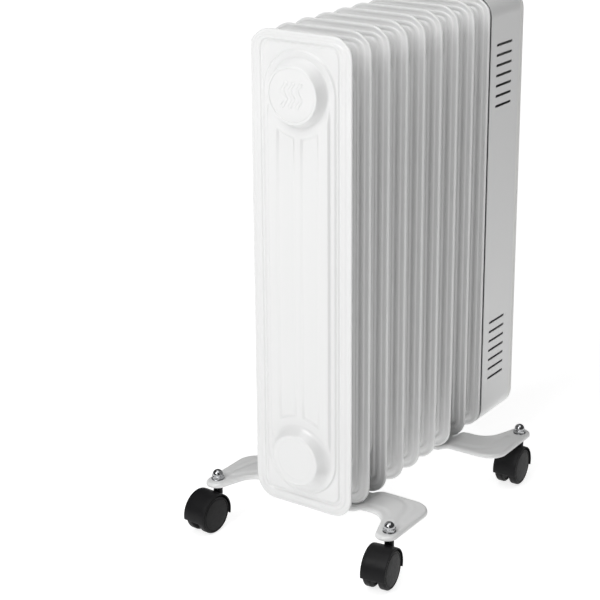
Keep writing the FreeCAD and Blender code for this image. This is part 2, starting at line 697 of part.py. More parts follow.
fascia = new_body("control_fascia")
FD, FW = g("fascia_deep"), g("fascia_wall")
s = sketch(fascia, "fascia_outline", "YZ_Plane")
rounded_rect(s, W / 2, H / 2, g("fin_corner"), 0, H / 2)
pad(fascia, s, FD, name="block")
s = sketch(fascia, "fascia_hollow", "YZ_Plane")
rounded_rect(s, W / 2 - FW, H / 2 - FW, g("fin_corner") - FW, 0, H / 2)
cut_checked(fascia, lambda: pocket(fascia, s, FD - FW, back=True, name="hollow"))
s = sketch(fascia, "control_openings", "YZ_Plane")
circle(s, 0, g("knob_z"), g("shaft_dia") / 2 + 1.5)
circle(s, 0, g("lens_z"), g("lens_dia") / 2 + 0.0)
for sy in (1, -1):
    rounded_rect(s, g("rocker_wide") / 2 + 1.5, g("rocker_high") / 2 + 1.5, 1.0, g("rocker_y") * sy, g("rocker_z"))
circle(s, 0, g("gland_z"), 6.5)
cut_checked(fascia, lambda: pocket(fascia, s, FD + 2, back=True, name="openings"))
place(fascia, SX1, 0, Z0)
keep(fascia)
FX = SX1 + FD            # outer face of the fascia
FI = FX - FW             # its inner face

# thermostat: a switch block behind the fascia, its turning shaft and the knob on it
KZ = Z0 + g("knob_z")
block = box("thermostat_block", FI - 27, FI - 5, -18, 18, KZ - 16, KZ + 16)
stub = cylinder("thermostat_bush", 7, 4.7, (FI - 5, 0, KZ), "x")
bore = cylinder("thermostat_bore", g("shaft_dia") / 2 + g("shaft_play"), 20, (FI - 15, 0, KZ), "x")
keep(cut("thermostat_body", fuse("thermostat_blank", [block, stub]), bore))
keep(cylinder("thermostat_shaft", g("shaft_dia") / 2, 14.5 + FW + g("knob_gap") + 10, (FI - 14.5, 0, KZ), "x"))

knob = new_body("thermostat_knob")
s = sketch(knob, "knob_disc", "YZ_Plane")
kr = g("knob_dia") / 2
circle(s, 0, 0, kr)
pad(knob, s, 6, name="skirt")
s = sketch(knob, "knob_grip", "YZ_Plane")
circle(s, 0, 0, kr - 4)
pad(knob, s, g("knob_deep"), name="grip")
s = sketch(knob, "knob_bore", "YZ_Plane")
circle(s, 0, 0, g("shaft_dia") / 2)
cut_checked(knob, lambda: pocket(knob, s, 10, back=True, name="shaft_hole"))
s = sketch(knob, "knob_flat_sides", "YZ_Plane", dz=7.0)
polygon(s, [(5.5, -kr), (kr, -kr), (kr, kr), (5.5, kr)])
polygon(s, [(-kr, -kr), (-5.5, -kr), (-5.5, kr), (-kr, kr)])
cut_checked(knob, lambda: pocket(knob, s, g("knob_deep"), back=True, name="finger_flats"))
place(knob, FX + g("knob_gap"), 0, KZ)
keep(knob)

# two rocker switches: a bezel body clipped in the fascia, and a rocker that tips about a pin along Y
RZ = Z0 + g("rocker_z")
for n, sy in (("1", 1), ("2", -1)):
    y = g("rocker_y") * sy
    bezel = box("switch_%s_bezel" % n, FX, FX + 1.5, y - g("rocker_wide") / 2 - 3, y + g("rocker_wide") / 2 + 3, RZ - g("rocker_high") / 2 - 3, RZ + g("rocker_high") / 2 + 3)
    can = box("switch_%s_can" % n, FX - 18, FX, y - g("rocker_wide") / 2 - 1.5, y + g("rocker_wide") / 2 + 1.5, RZ - g("rocker_high") / 2 - 1.5, RZ + g("rocker_high") / 2 + 1.5)
    well = box("switch_%s_well" % n, FX - 10, FX + 3, y - g("rocker_wide") / 2 - 0.3, y + g("rocker_wide") / 2 + 0.3, RZ - g("rocker_high") / 2 - 0.5, RZ + g("rocker_high") / 2 + 0.5)
    pivot = cylinder("switch_%s_pivot_holes" % n, 1.3, g("rocker_wide") + 2.6, (FX - 1.0, y - g("rocker_wide") / 2 - 1.3, RZ), "y")
    keep(cut("switch_body_" + n, fuse("switch_%s_blank" % n, [bezel, can]), fuse("switch_%s_space" % n, [well, pivot])))
    rocker = new_body("power_rocker_" + n)
    s = sketch(rocker, "rocker_side", "XZ_Plane")
    h = g("rocker_high") / 2
    polygon(s, [(-5.0, -2.5), (-2.6, -h + 0.6), (2.6, -h + 0.4), (4.2, -h + 0.7), (3.0, 0), (6.0, h - 1.4), (4.6, h - 0.7), (-1.0, h - 0.5), (-5.0, 2.5)])
    pad(rocker, s, g("rocker_wide"), mid=True, name="rocker")
    s = sketch(rocker, "rocker_pivot", "XZ_Plane")
    circle(s, 0, 0, 1.2)
    pad(rocker, s, g("rocker_wide") + 2.2, mid=True, name="pivot")
    place(rocker, FX - 1.0, y, RZ)
    keep(rocker)

lens = new_body("pilot_lens")
s = sketch(lens, "lens_section", "XY_Plane")
lr = g("lens_dia") / 2
polygon(s, [(-8, 0), (-8, lr), (0, lr), (0, lr + 1.5), (1.0, lr + 1.2), (2.2, 2.6), (2.8, 0)])
turn(lens, s, "H_Axis", name="lens")
place(lens, FX, 0, Z0 + g("lens_z"))
keep(lens)

# pull handle on the control end, with a gap for the fingers behind the bar
bar = g("handle_bar")
HN = Z0 + g("handle_z") - 30
handle = new_body("carry_handle")
s = sketch(handle, "handle_plan", "XY_Plane")
hh = g("handle_half")
reach_x = g("handle_reach")
verts = [(0, -hh, 1.5), (reach_x, -hh, 16), (reach_x, hh, 16), (0, hh, 1.5), (0, hh - 13, 1.5),
         (reach_x - 12, hh - 13, 7), (reach_x - 12, -hh + 13, 7), (0, -hh + 13, 1.5)]
polygon(s, [(x, y) for x, y, r in verts])
pad(handle, s, bar, mid=True, name="bar")
round_corners(handle, [verts[1], verts[2], verts[5], verts[6]])
place(handle, FX, 0, HN + 10)
keep(handle)

# two cord hooks low on the fascia
hooks = []
for n, (zc, up) in enumerate(((150, -1), (285, 1))):
    zc = Z0 + zc
    post = box("cord_hook_%d_post" % n, FX, FX + 20, -14, 14, zc - 4, zc + 4)
    tip = box("cord_hook_%d_tip" % n, FX + 20, FX + 24, -14, 14, zc - 4 + (0 if up > 0 else -14), zc + 4 + (14 if up > 0 else 0))
    hooks.append(fuse("cord_hook_%d" % n, [post, tip]))
keep(group("cord_hooks", hooks))

gland = new_body("cord_gland")
s = sketch(gland, "gland_section", "XY_Plane")
gb = g("gland_bore") / 2
polygon(s, [(-8, gb), (-8, 6.45), (0, 6.45), (0, 9), (2.5, 9), (9, 6.2), (9, gb)])
turn(gland, s, "H_Axis", name="gland")
place(gland, FX, 0, Z0 + g("gland_z"))
keep(gland)

# inside: over-temperature cut-out on its clip, and the terminal block
PX = X0 + g("plate_start") + g("plate_thick")
keep(fuse("thermal_cutout", [cylinder("cutout_can", 8, 9, (PX + 1, 0, Z0 + 175), "x"),
                             box("cutout_tab_a", PX + 10, PX + 18, -6, -5.2, Z0 + 172, Z0 + 178), box("cutout_tab_b", PX + 10, PX + 18, 5.2, 6, Z0 + 172, Z0 + 178)]))
keep(box("cutout_clip", PX, PX + 1, -10, 10, Z0 + 160, Z0 + 190))
keep(box("terminal_block", PX, PX + 16, -22, 22, Z0 + 230, Z0 + 248))

# four pillars on the mounting plate take the screws that hold the fascia, and two more screws hold the handle
SCREWS = ((-40, 30), (40, 30), (-40, 330), (40, 330))
screws, pillars = [], []
for n, (y, z) in enumerate(SCREWS):
    shank = cylinder("fascia_screw_%d_shank" % n, 2.0, 16 + FW, (FI - 16, y, Z0 + z), "x")
    head = cylinder("fascia_screw_%d_head" % n, 4.0, 2.2, (FX, y, Z0 + z), "x")
    screws.append(fuse("fascia_screw_%d" % n, [shank, head]))
    post = cylinder("fascia_pillar_%d_post" % n, 4.5, FI - PX, (PX, y, Z0 + z), "x")
    hole = cylinder("fascia_pillar_%d_hole" % n, 2.0, 16, (FI - 16, y, Z0 + z), "x")
    pillars.append(cut("fascia_pillar_%d" % n, post, hole))
keep(group("fascia_screws", screws), group("fascia_pillars", pillars))
grips = []
for n, sy in enumerate((1, -1)):
    y = (g("handle_half") - 6.5) * sy
    shank = cylinder("handle_screw_%d_shank" % n, 2.5, 12 + FW, (FI, y, HN + 10), "x")
    head = cylinder("handle_screw_%d_head" % n, 5.0, 2.5, (FI - 2.5, y, HN + 10), "x")
    grips.append(fuse("handle_screw_%d" % n, [shank, head]))
keep(group("handle_screws", grips))
s = sketch(handle, "handle_screw_holes", "YZ_Plane")
for sy in (1, -1):
    circle(s, (g("handle_half") - 6.5) * sy, 0, 2.5)
cut_checked(handle, lambda: pocket(handle, s, 12, back=True, name="screw_sockets"))
s = sketch(fascia, "screw_holes", "YZ_Plane")
for y, z in SCREWS:
    circle(s, y, z, 2.0)
for sy in (1, -1):
    circle(s, (g("handle_half") - 6.5) * sy, g("handle_z") - 20, 2.5)
cut_checked(fascia, lambda: pocket(fascia, s, FD + 2, back=True, name="screw_clearance"))

# ---------------------------------------------------------------- checks and export
doc.recompute()
bad = [o.Name for o in doc.Objects if "Invalid" in o.State or "Error" in o.State]
for o in nodes:
    if o.Shape.isNull() or not o.Shape.isValid() or o.Shape.Volume <= 0:
        bad.append(o.Label + " (shape)")
if bad:
    raise SystemExit("failed objects: " + ", ".join(bad))
if len(nodes) > 60:
    raise SystemExit("too many nodes: %d" % len(nodes))
lo = [1e9] * 3
hi = [-1e9] * 3
for o in nodes:
    bb = o.Shape.BoundBox
    for i, (a, b) in enumerate(((bb.XMin, bb.XMax), (bb.YMin, bb.YMax), (bb.ZMin, bb.ZMax))):
        lo[i] = min(lo[i], a)
        hi[i] = max(hi[i], b)
    o.Shape.exportStep("parts/%s.step" % o.Label)
    print("%-28s solids %d volume %.1f" % (o.Label, len(o.Shape.Solids), o.Shape.Volume))
print("nodes", len(nodes), "box", [round(v, 3) for v in lo], [round(v, 3) for v in hi])
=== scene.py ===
import json
import math

import bpy
import numpy as np
from mathutils import Matrix, Quaternion, Vector
from mathutils.geometry import delaunay_2d_cdt


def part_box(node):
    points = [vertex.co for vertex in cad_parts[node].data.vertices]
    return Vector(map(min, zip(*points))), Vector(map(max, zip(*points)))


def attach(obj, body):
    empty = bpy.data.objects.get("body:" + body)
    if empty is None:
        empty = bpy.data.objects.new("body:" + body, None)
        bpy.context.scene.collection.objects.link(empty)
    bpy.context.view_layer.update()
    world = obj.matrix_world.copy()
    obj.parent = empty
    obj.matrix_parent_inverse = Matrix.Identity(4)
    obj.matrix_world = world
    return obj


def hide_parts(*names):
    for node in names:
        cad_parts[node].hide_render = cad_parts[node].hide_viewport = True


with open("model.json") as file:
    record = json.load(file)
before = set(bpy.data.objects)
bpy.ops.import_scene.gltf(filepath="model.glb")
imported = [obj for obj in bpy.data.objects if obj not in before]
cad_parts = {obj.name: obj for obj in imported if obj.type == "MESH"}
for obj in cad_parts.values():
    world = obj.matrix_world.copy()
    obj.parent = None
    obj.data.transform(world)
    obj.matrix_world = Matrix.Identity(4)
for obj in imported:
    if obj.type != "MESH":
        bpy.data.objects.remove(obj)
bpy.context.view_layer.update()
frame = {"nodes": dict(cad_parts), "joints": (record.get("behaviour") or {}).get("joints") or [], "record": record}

# Meshes are built in millimetres and scaled to metres at the end.
JOINTS = {j["name"]: j for j in frame["joints"]}


def mm_box(node):
    lo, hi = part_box(node)
    return np.array(lo) * 1000.0, np.array(hi) * 1000.0


# ------------------------------------------------------------------ materials

def new_material(name):
    m = bpy.data.materials.new(name)
    m.use_nodes = True
    nt = m.node_tree
    bsdf = nt.nodes["Principled BSDF"]
    coord = nt.nodes.new("ShaderNodeTexCoord")
    return m, nt, bsdf, coord


def noise(nt, coord, scale, detail=2.0, rough=0.5, stretch=None):
    n = nt.nodes.new("ShaderNodeTexNoise")
    n.inputs["Scale"].default_value = scale
    n.inputs["Detail"].default_value = detail
    n.inputs["Roughness"].default_value = rough
    if stretch:
        mp = nt.nodes.new("ShaderNodeMapping")
        mp.inputs["Scale"].default_value = stretch
        nt.links.new(coord.outputs["Object"], mp.inputs["Vector"])
        nt.links.new(mp.outputs["Vector"], n.inputs["Vector"])
    else:
        nt.links.new(coord.outputs["Object"], n.inputs["Vector"])
    return n


def spread(nt, source, low, high, a=0.3, b=0.7):
    r = nt.nodes.new("ShaderNodeMapRange")
    r.inputs["From Min"].default_value = a
    r.inputs["From Max"].default_value = b
    r.inputs["To Min"].default_value = low
    r.inputs["To Max"].default_value = high
    nt.links.new(source, r.inputs["Value"])
    return r.outputs["Result"]


def tint(nt, source, dark, light):
    r = nt.nodes.new("ShaderNodeValToRGB")
    r.color_ramp.elements[0].position = 0.3
    r.color_ramp.elements[1].position = 0.7
    r.color_ramp.elements[0].color = (*dark, 1)
    r.color_ramp.elements[1].color = (*light, 1)
    nt.links.new(source, r.inputs["Fac"])
    return r.outputs["Color"]


def bump(nt, source, distance, strength=1.0, before=None):
    b = nt.nodes.new("ShaderNodeBump")
    b.inputs["Strength"].default_value = strength
    b.inputs["Distance"].default_value = distance
    nt.links.new(source, b.inputs["Height"])
    if before is not None:
        nt.links.new(before, b.inputs["Normal"])
    return b.outputs["Normal"]


def finish_of(name, dark, light, rough, metallic=0.0, patch=14.0, patch_stretch=None, grain=900.0, depth=0.00003, strength=0.3,
              grain_stretch=None, detail=3.0, coat=0.0, coat_rough=0.1, ior=1.5, wave=None, wave_depth=0.0):
    """A surface whose colour and roughness drift softly, with a fine grain in its relief."""
    m, nt, bsdf, coord = new_material(name)
    big = noise(nt, coord, patch, 3.0, 0.55, patch_stretch)
    fine = noise(nt, coord, grain, detail, 0.6, grain_stretch)
    nt.links.new(tint(nt, big.outputs["Fac"], dark, light), bsdf.inputs["Base Color"])
    mid = noise(nt, coord, patch * 6.0, 4.0, 0.6, patch_stretch)
    nt.links.new(spread(nt, mid.outputs["Fac"], rough[0], rough[1]), bsdf.inputs["Roughness"])
    n = bump(nt, fine.outputs["Fac"], depth, strength)
    if wave:
        peel = noise(nt, coord, wave, 1.0, 0.4)
        n = bump(nt, peel.outputs["Fac"], wave_depth, 0.5, n)
    nt.links.new(n, bsdf.inputs["Normal"])
    bsdf.inputs["Metallic"].default_value = metallic
    bsdf.inputs["IOR"].default_value = ior
    bsdf.inputs["Coat Weight"].default_value = coat
    bsdf.inputs["Coat Roughness"].default_value = coat_rough
    return m


ENAMEL = finish_of("enamel", (0.786, 0.788, 0.786), (0.788, 0.790, 0.788), (0.279, 0.283), patch=5.0, grain=260.0, depth=0.000002,
                   strength=0.1, coat=0.2, coat_rough=0.14)
# The chrome's base colour is set darker than real chrome: painted shade standing in for the dark surroundings its
# reflections would show.
CHROME_WITH_PAINTED_SHADE = finish_of("chrome", (0.36, 0.365, 0.375), (0.43, 0.435, 0.445), (0.03, 0.08), 1.0, patch=120.0, grain=2500.0, depth=0.000004, strength=0.2)
ZINC = finish_of("zinc", (0.50, 0.51, 0.53), (0.68, 0.69, 0.70), (0.26, 0.42), 1.0, patch=140.0, grain=1800.0, depth=0.00002, strength=0.3)
STEEL = finish_of("steel", (0.50, 0.50, 0.50), (0.64, 0.64, 0.65), (0.24, 0.40), 1.0, patch=60.0, grain=2200.0, depth=0.00002, strength=0.35,
                  grain_stretch=(0.06, 1.0, 1.0))
BLACK = finish_of("black_moulding", (0.0070, 0.0070, 0.0077), (0.0105, 0.0105, 0.0113), (0.38, 0.48), patch=30.0, grain=2600.0, depth=0.00003,
                  strength=0.3)
TREAD = finish_of("black_wheel", (0.0045, 0.0045, 0.0048), (0.0070, 0.0070, 0.0074), (0.42, 0.54), patch=45.0, grain=2200.0, depth=0.00003,
                  strength=0.35)
for black in (BLACK, TREAD):
    black.node_tree.nodes["Principled BSDF"].inputs["Specular IOR Level"].default_value = 0.15
WHITE = finish_of("white_moulding", (0.80, 0.80, 0.785), (0.83, 0.83, 0.815), (0.34, 0.46), patch=12.0, grain=1900.0, depth=0.00004,
                  strength=0.35)
DARK = finish_of("dark_moulding", (0.030, 0.030, 0.033), (0.042, 0.042, 0.045), (0.38, 0.52), patch=25.0, grain=2000.0, depth=0.00004,
                 strength=0.35)
ROCKER = finish_of("rocker_moulding", (0.05, 0.05, 0.055), (0.065, 0.065, 0.07), (0.16, 0.26), patch=60.0, grain=2400.0, depth=0.000015,
                   strength=0.25)
AMBER = finish_of("amber_lens", (0.70, 0.17, 0.01), (0.88, 0.30, 0.03), (0.06, 0.14), patch=160.0, grain=900.0, depth=0.00001, strength=0.2,
                  coat=0.6, coat_rough=0.05)
MARK = finish_of("grey_mark", (0.16, 0.17, 0.18), (0.22, 0.23, 0.24), (0.40, 0.52), patch=60.0, grain=2200.0, depth=0.00002, strength=0.3)

SLOT_MATERIAL = {
    "painted_steel": ENAMEL, "zinc_steel": ZINC, "chrome": CHROME_WITH_PAINTED_SHADE, "bright_steel": STEEL, "black_plastic": BLACK,
    "black_tread": TREAD, "white_plastic": WHITE, "dark_plastic": DARK, "rocker_plastic": ROCKER, "amber_lens": AMBER,
}
NODE_SLOT = {s["node"]: s["material_slot"] for s in frame["record"]["subparts"]}
NODE_BODY = {n: b for b, ns in frame["record"]["behaviour"]["bodies"].items() for n in ns}

# ------------------------------------------------------------------ mesh kit


def arc_points(c, r, a0, a1, n):
    t = np.linspace(a0, a1, n + 1)
    return np.stack([c[0] + r * np.cos(t), c[1] + r * np.sin(t)], 1)


def inset_corners(corners, e):
    """A counter-clockwise loop of (x, y, radius) corners with every run moved inwards by e."""
    m = len(corners)
    p = np.array([c[:2] for c in corners], float)
    d = np.roll(p, -1, 0) - p
    d /= np.linalg.norm(d, axis=1)[:, None]
    nrm = np.stack([-d[:, 1], d[:, 0]], 1)
    out = []
    for i in range(m):
        n0, n1 = nrm[i - 1], nrm[i]
        k = 1.0 + n0 @ n1
        q = p[i] + (n0 + n1) * (e / max(k, 0.2))
        convex = d[i - 1][0] * d[i][1] - d[i - 1][1] * d[i][0] > 0
        r = corners[i][2]
        if r > 0:
            r = max(r - e, 0.15) if convex else r + e
        out.append((q[0], q[1], r))
    return out


def ring(corners, n=8, step=0.0, plan=None):
    """The points of a loop of (x, y, radius) corners. Round corners have n + 1 points; straight runs are cut to about
    step, or as plan says, so that insets of one loop match point for point. Returns (points, plan)."""
    m = len(corners)
    starts, ends, arcs = [], [], []
    for i in range(m):
        p0, p1, p2 = (np.array(corners[j % m][:2], float) for j in (i - 1, i, i + 1))
        r = corners[i][2]
        if r <= 0:
            arcs.append(p1[None, :])
            continue
        a, b = p0 - p1, p2 - p1
        a /= np.linalg.norm(a)
        b /= np.linalg.norm(b)
        ang = math.acos(max(-1.0, min(1.0, float(a @ b))))
        t = r / math.tan(ang / 2)
        mid = (a + b) / np.linalg.norm(a + b)
        c = p1 + mid * r / math.sin(ang / 2)
        s, e = p1 + a * t, p1 + b * t
        a0 = math.atan2(*(s - c)[::-1])
        a1 = math.atan2(*(e - c)[::-1])
        da = (a1 - a0 + math.pi) % (2 * math.pi) - math.pi
        arcs.append(arc_points(c, r, a0, a0 + da, n))
    cuts = plan or []
    out = []
    for i in range(m):
        out.extend(arcs[i])
        s, e = arcs[i][-1], arcs[(i + 1) % m][0]
        if plan is None:
            cuts.append(max(1, int(round(np.linalg.norm(e - s) / step))) if step else 1)
        for k in range(1, cuts[i]):
            out.append(s + (e - s) * k / cuts[i])
    return np.array(out), cuts


def inside(points, loop):
    x, y = points[:, 0], points[:, 1]
    hit = np.zeros(len(points), bool)
    a, b = loop, np.roll(loop, -1, 0)
    for (x0, y0), (x1, y1) in zip(a, b):
        if y0 == y1:
            continue
        cross = ((y0 > y) != (y1 > y)) & (x < (x1 - x0) * (y - y0) / (y1 - y0) + x0)
        hit ^= cross
    return hit


class Net:
    """Vertices and faces of one piece, in millimetres."""

    def __init__(self, matrix=None):
        self.v, self.f, self.m = [], [], matrix

    def add(self, pts):
        pts = np.atleast_2d(np.asarray(pts, float))
        if self.m is not None:
            pts = pts @ self.m[:3, :3].T + self.m[:3, 3]
        s = len(self.v)
        self.v.extend(pts.tolist())
        return list(range(s, s + len(pts)))

    def band(self, a, b, close=True):
        n = len(a)
        for i in range(n if close else n - 1):
            j = (i + 1) % n
            self.f.append((a[i], a[j], b[j], b[i]))

    def fan(self, ids, tip, flip=False):
        n = len(ids)
        for i in range(n):
            a, b = ids[i], ids[(i + 1) % n]
            self.f.append((b, a, tip) if flip else (a, b, tip))

    def fill(self, loops, coords, extra=None, lines=(), lift=None, flip=False):
        """Triangulates between loops of vertex ids (the first is the outside) with 2-D coords. Extra points and lines are
        lifted to 3-D by lift."""
        pts, ids, edges, bounds = [], [], [], []
        for loop, co in zip(loops, coords):
            base = len(pts)
            pts.extend([tuple(p) for p in co])
            ids.extend(loop)
            n = len(loop)
            edges.extend([(base + k, base + (k + 1) % n) for k in range(n)])
            bounds.append(np.asarray(co, float))
        for line, closed in lines:
            base = len(pts)
            pts.extend([tuple(p) for p in line])
            ids.extend([None] * len(line))
            n = len(line)
            edges.extend([(base + k, base + (k + 1) % n) for k in range(n if closed else n - 1)])
        if extra is not None and len(extra):
            pts.extend([tuple(p) for p in extra])
            ids.extend([None] * len(extra))
        v, _, f, ov, _, _ = delaunay_2d_cdt([Vector(p) for p in pts], edges, [], 0, 1e-5)
        v = np.array([tuple(p) for p in v])
        tri = np.array([t for t in f if len(t) == 3], int)
        mid = v[tri].mean(1)
        ok = inside(mid, bounds[0])
        for b in bounds[1:]:
            ok &= ~inside(mid, b)
        tri = tri[ok]
        where = {}
        fresh = []
        for i in np.unique(tri):
            known = [ids[k] for k in ov[i] if ids[k] is not None]
            if known:
                where[i] = known[0]
            else:
                fresh.append(i)
        if fresh:
            new = self.add(lift(v[fresh]))
            where.update(zip(fresh, new))
        for a, b, c in tri:
            t = (where[a], where[b], where[c])
            if len(set(t)) == 3:
                self.f.append(t[::-1] if flip else t)
        return v, where

    def lathe(self, profile, segs=72, axis="z", at=(0, 0, 0), closed=False):
        """profile is (along, radius) points. closed joins the last to the first, as for a ring."""
        c, s = np.cos(np.linspace(0, 2 * math.pi, segs, False)), np.sin(np.linspace(0, 2 * math.pi, segs, False))
        rows = []
        for t, r in profile:
            tt = np.full(segs, t)
            if r < 1e-6:
                tt, rc, rs = np.array([t]), np.zeros(1), np.zeros(1)
            else:
                rc, rs = r * c, r * s
            cols = {"z": (rc, rs, tt), "x": (tt, rc, rs), "y": (rs, tt, rc)}[axis]
            rows.append(self.add(np.stack(cols, 1) + np.array(at, float)))
        pairs = list(zip(rows, rows[1:])) + ([(rows[-1], rows[0])] if closed else [])
        for a, b in pairs:
            if len(a) == 1 and len(b) == 1:
                continue
            if len(a) == 1:
                self.fan(b, a[0], True)
            elif len(b) == 1:
                self.fan(a, b[0])
            else:
                self.band(a, b)

    def slab(self, corners, z0, z1, r0=0.0, r1=0.0, n=6, k=4, step=0.0, lift=None, twist=None):
        """A prism of a counter-clockwise loop from z0 to z1, with its lower and upper edges rounded by r0 and r1.
        twist maps (x, y, z) rows to another frame."""
        to = twist or (lambda p: p)
        levels = []
        for i in range(k + 1) if r0 > 0 else (k,):
            a = math.pi / 2 * i / k
            levels.append((r0 * (1 - math.sin(a)), z0 + r0 * (1 - math.cos(a))))
        for i in range(k + 1) if r1 > 0 else (0,):
            a = math.pi / 2 * i / k
            levels.append((r1 * (1 - math.cos(a)), z1 - r1 * (1 - math.sin(a))))
        _, plan = ring(corners, n, step)
        rows, flat = [], []
        for e, z in levels:
            p, _ = ring(inset_corners(corners, e) if e > 0 else corners, n, step, plan)
            rows.append(self.add(to(np.column_stack([p, np.full(len(p), z)]))))
            flat.append(p)
        for a, b in zip(rows, rows[1:]):
            self.band(a, b)
        self.fill([rows[0]], [flat[0]], flip=True)
        self.fill([rows[-1]], [flat[-1]])


def from_xy(origin, ux, uy, uz):
    m = np.eye(4)
    m[:3, 0], m[:3, 1], m[:3, 2], m[:3, 3] = ux, uy, uz, origin
    return m


def soft_profile(points, n=5):
    """An open line of (a, b, radius) points with its inner corners rounded."""
    out = [points[0][:2]]
    for i in range(1, len(points) - 1):
        p0, p1, p2 = (np.array(points[j][:2], float) for j in (i - 1, i, i + 1))
        r = points[i][2]
        if r <= 0:
            out.append(tuple(p1))
            continue
        a, b = p0 - p1, p2 - p1
        la, lb = np.linalg.norm(a), np.linalg.norm(b)
        a, b = a / la, b / lb
        ang = math.acos(max(-1.0, min(1.0, float(a @ b))))
        t = min(r / math.tan(ang / 2), la * 0.49, lb * 0.49)
        r = t * math.tan(ang / 2)
        c = p1 + (a + b) / np.linalg.norm(a + b) * r / math.sin(ang / 2)
        s, e = p1 + a * t, p1 + b * t
        a0, a1 = math.atan2(*(s - c)[::-1]), math.atan2(*(e - c)[::-1])
        da = (a1 - a0 + math.pi) % (2 * math.pi) - math.pi
        out.extend(map(tuple, arc_points(c, r, a0, a0 + da, n)))
    out.append(points[-1][:2])
    return out


def build(name, net, nodes, material=None, normals=None, angle=32.0, mesh=None, place=None, body=None):
    """Makes the piece, gives it its finish, and lets it ride on its CAD body in place of its CAD nodes."""
    if mesh is None:
        mesh = bpy.data.meshes.new(name)
        co = np.array(net.v) * 0.001
        mesh.from_pydata(co.tolist(), [], net.f)
        mesh.update()
        mesh.polygons.foreach_set("use_smooth", [True] * len(mesh.polygons))
        mesh.materials.append(material or SLOT_MATERIAL[NODE_SLOT[nodes[0]]])
        if normals is not None:
            mesh.normals_split_custom_set_from_vertices(normals.tolist())
        else:
            mesh.set_sharp_from_angle(angle=math.radians(angle))
    obj = bpy.data.objects.new(name, mesh)
    bpy.context.scene.collection.objects.link(obj)
    if place is not None:
        obj.matrix_world = place
    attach(obj, body or NODE_BODY[nodes[0]])
    if nodes:
        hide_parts(*nodes)
    return obj


# ------------------------------------------------------------------ camera, floor and lights

lo1, hi1 = mm_box("fin_1")
X0 = (lo1[0] + hi1[0]) / 2
Z0 = lo1[2]
lo9, hi9 = mm_box("fin_9")
PITCH = ((lo9[0] + hi9[0]) / 2 - X0) / 8

camera = bpy.data.cameras.new("camera")
camera.lens = 99.30
camera.sensor_width = 36.0
camera.shift_x = -0.0959
camera.shift_y = -0.1227
camera.clip_start, camera.clip_end = 0.05, 50.0
cam = bpy.data.objects.new("camera", camera)
bpy.context.scene.collection.objects.link(cam)
yaw, pitch, roll = math.radians(32.823), math.radians(17.631), math.radians(0.193)
look = Vector((math.cos(yaw) * math.cos(pitch), math.sin(yaw) * math.cos(pitch), -math.sin(pitch)))
cam.rotation_mode = "QUATERNION"
cam.rotation_quaternion = look.to_track_quat("-Z", "Y") @ Quaternion((0, 0, 1), roll)
cam.location = ((X0 - 1352.5) / 1000, -0.9412, (Z0 + 847.9) / 1000)
bpy.context.scene.camera = cam
bpy.context.scene.view_settings.view_transform = "Standard"

floor_mesh = bpy.data.meshes.new("floor")
n_side = 24
half = 7.0
fv = [(half * (2 * i / n_side - 1), half * (2 * j / n_side - 1), 0.0) for j in range(n_side + 1) for i in range(n_side + 1)]
ff = [(j * (n_side + 1) + i, j * (n_side + 1) + i + 1, (j + 1) * (n_side + 1) + i + 1, (j + 1) * (n_side + 1) + i)
      for j in range(n_side) for i in range(n_side)]
floor_mesh.from_pydata(fv, [], ff)
floor = bpy.data.objects.new("floor", floor_mesh)
bpy.context.scene.collection.objects.link(floor)
FLOOR = finish_of("floor", (0.50, 0.50, 0.50), (0.52, 0.52, 0.52), (0.6, 0.75), patch=1.5, grain=300.0, depth=0.00003, strength=0.1)
# The floor glows as well as being lit: a painted light that lights the object from below. The glow is dimmer beyond
# about 0.4 m towards +x and -y, and grows with distance past 1 m.
FLOOR.node_tree.nodes["Principled BSDF"].inputs["Emission Color"].default_value = (1.0, 1.0, 1.0, 1.0)
fn = FLOOR.node_tree
where = fn.nodes.new("ShaderNodeTexCoord").outputs["Object"]
across = fn.nodes.new("ShaderNodeVectorMath")
across.operation = "DOT_PRODUCT"
across.inputs[1].default_value = (-0.342, 0.940, 0.0)
away = fn.nodes.new("ShaderNodeVectorMath")
away.operation = "LENGTH"
glow = fn.nodes.new("ShaderNodeMapRange")
for key, value in zip(("From Min", "From Max", "To Min", "To Max"), (-1.3, -0.40, 0.38, 0.78)):
    glow.inputs[key].default_value = value
more = fn.nodes.new("ShaderNodeMapRange")
for key, value in zip(("From Min", "From Max", "To Min", "To Max"), (1.0, 4.0, 0.0, 0.30)):
    more.inputs[key].default_value = value
both = fn.nodes.new("ShaderNodeMath")
both.operation = "ADD"
fn.links.new(where, across.inputs[0])
fn.links.new(where, away.inputs[0])
fn.links.new(across.outputs["Value"], glow.inputs["Value"])
fn.links.new(away.outputs["Value"], more.inputs["Value"])
fn.links.new(glow.outputs["Result"], both.inputs[0])
fn.links.new(more.outputs["Result"], both.inputs[1])
fn.links.new(both.outputs["Value"], fn.nodes["Principled BSDF"].inputs["Emission Strength"])
floor_mesh.materials.append(FLOOR)

world = bpy.data.worlds.new("world")
bpy.context.scene.world = world
world.use_nodes = True
wt = world.node_tree
bg = wt.nodes["Background"]
bg.inputs["Color"].default_value = (1.0, 1.0, 1.0, 1.0)
bg.inputs["Strength"].default_value = 0.10


def area_light(name, where, target, power, size, size_y=None):
    d = bpy.data.lights.new(name, "AREA")
    d.energy = power
    d.shape = "RECTANGLE"
    d.size = size
    d.size_y = size_y or size
    o = bpy.data.objects.new(name, d)
    bpy.context.scene.collection.objects.link(o)
    o.location = where
    o.rotation_mode = "QUATERNION"
    o.rotation_quaternion = (Vector(target) - Vector(where)).to_track_quat("-Z", "Y")
    return o


area_light("key", (-2.5, 0.35, 2.35), (-0.1, 0.0, 0.3), 46.0, 1.6)
area_light("fill", (-2.9, -0.8, 1.0), (0.0, 0.0, 0.3), 6.0, 1.2)
area_light("top", (-0.4, -0.1, 2.8), (-0.1, 0.0, 0.0), 34.0, 2.4)

# ------------------------------------------------------------------ fins

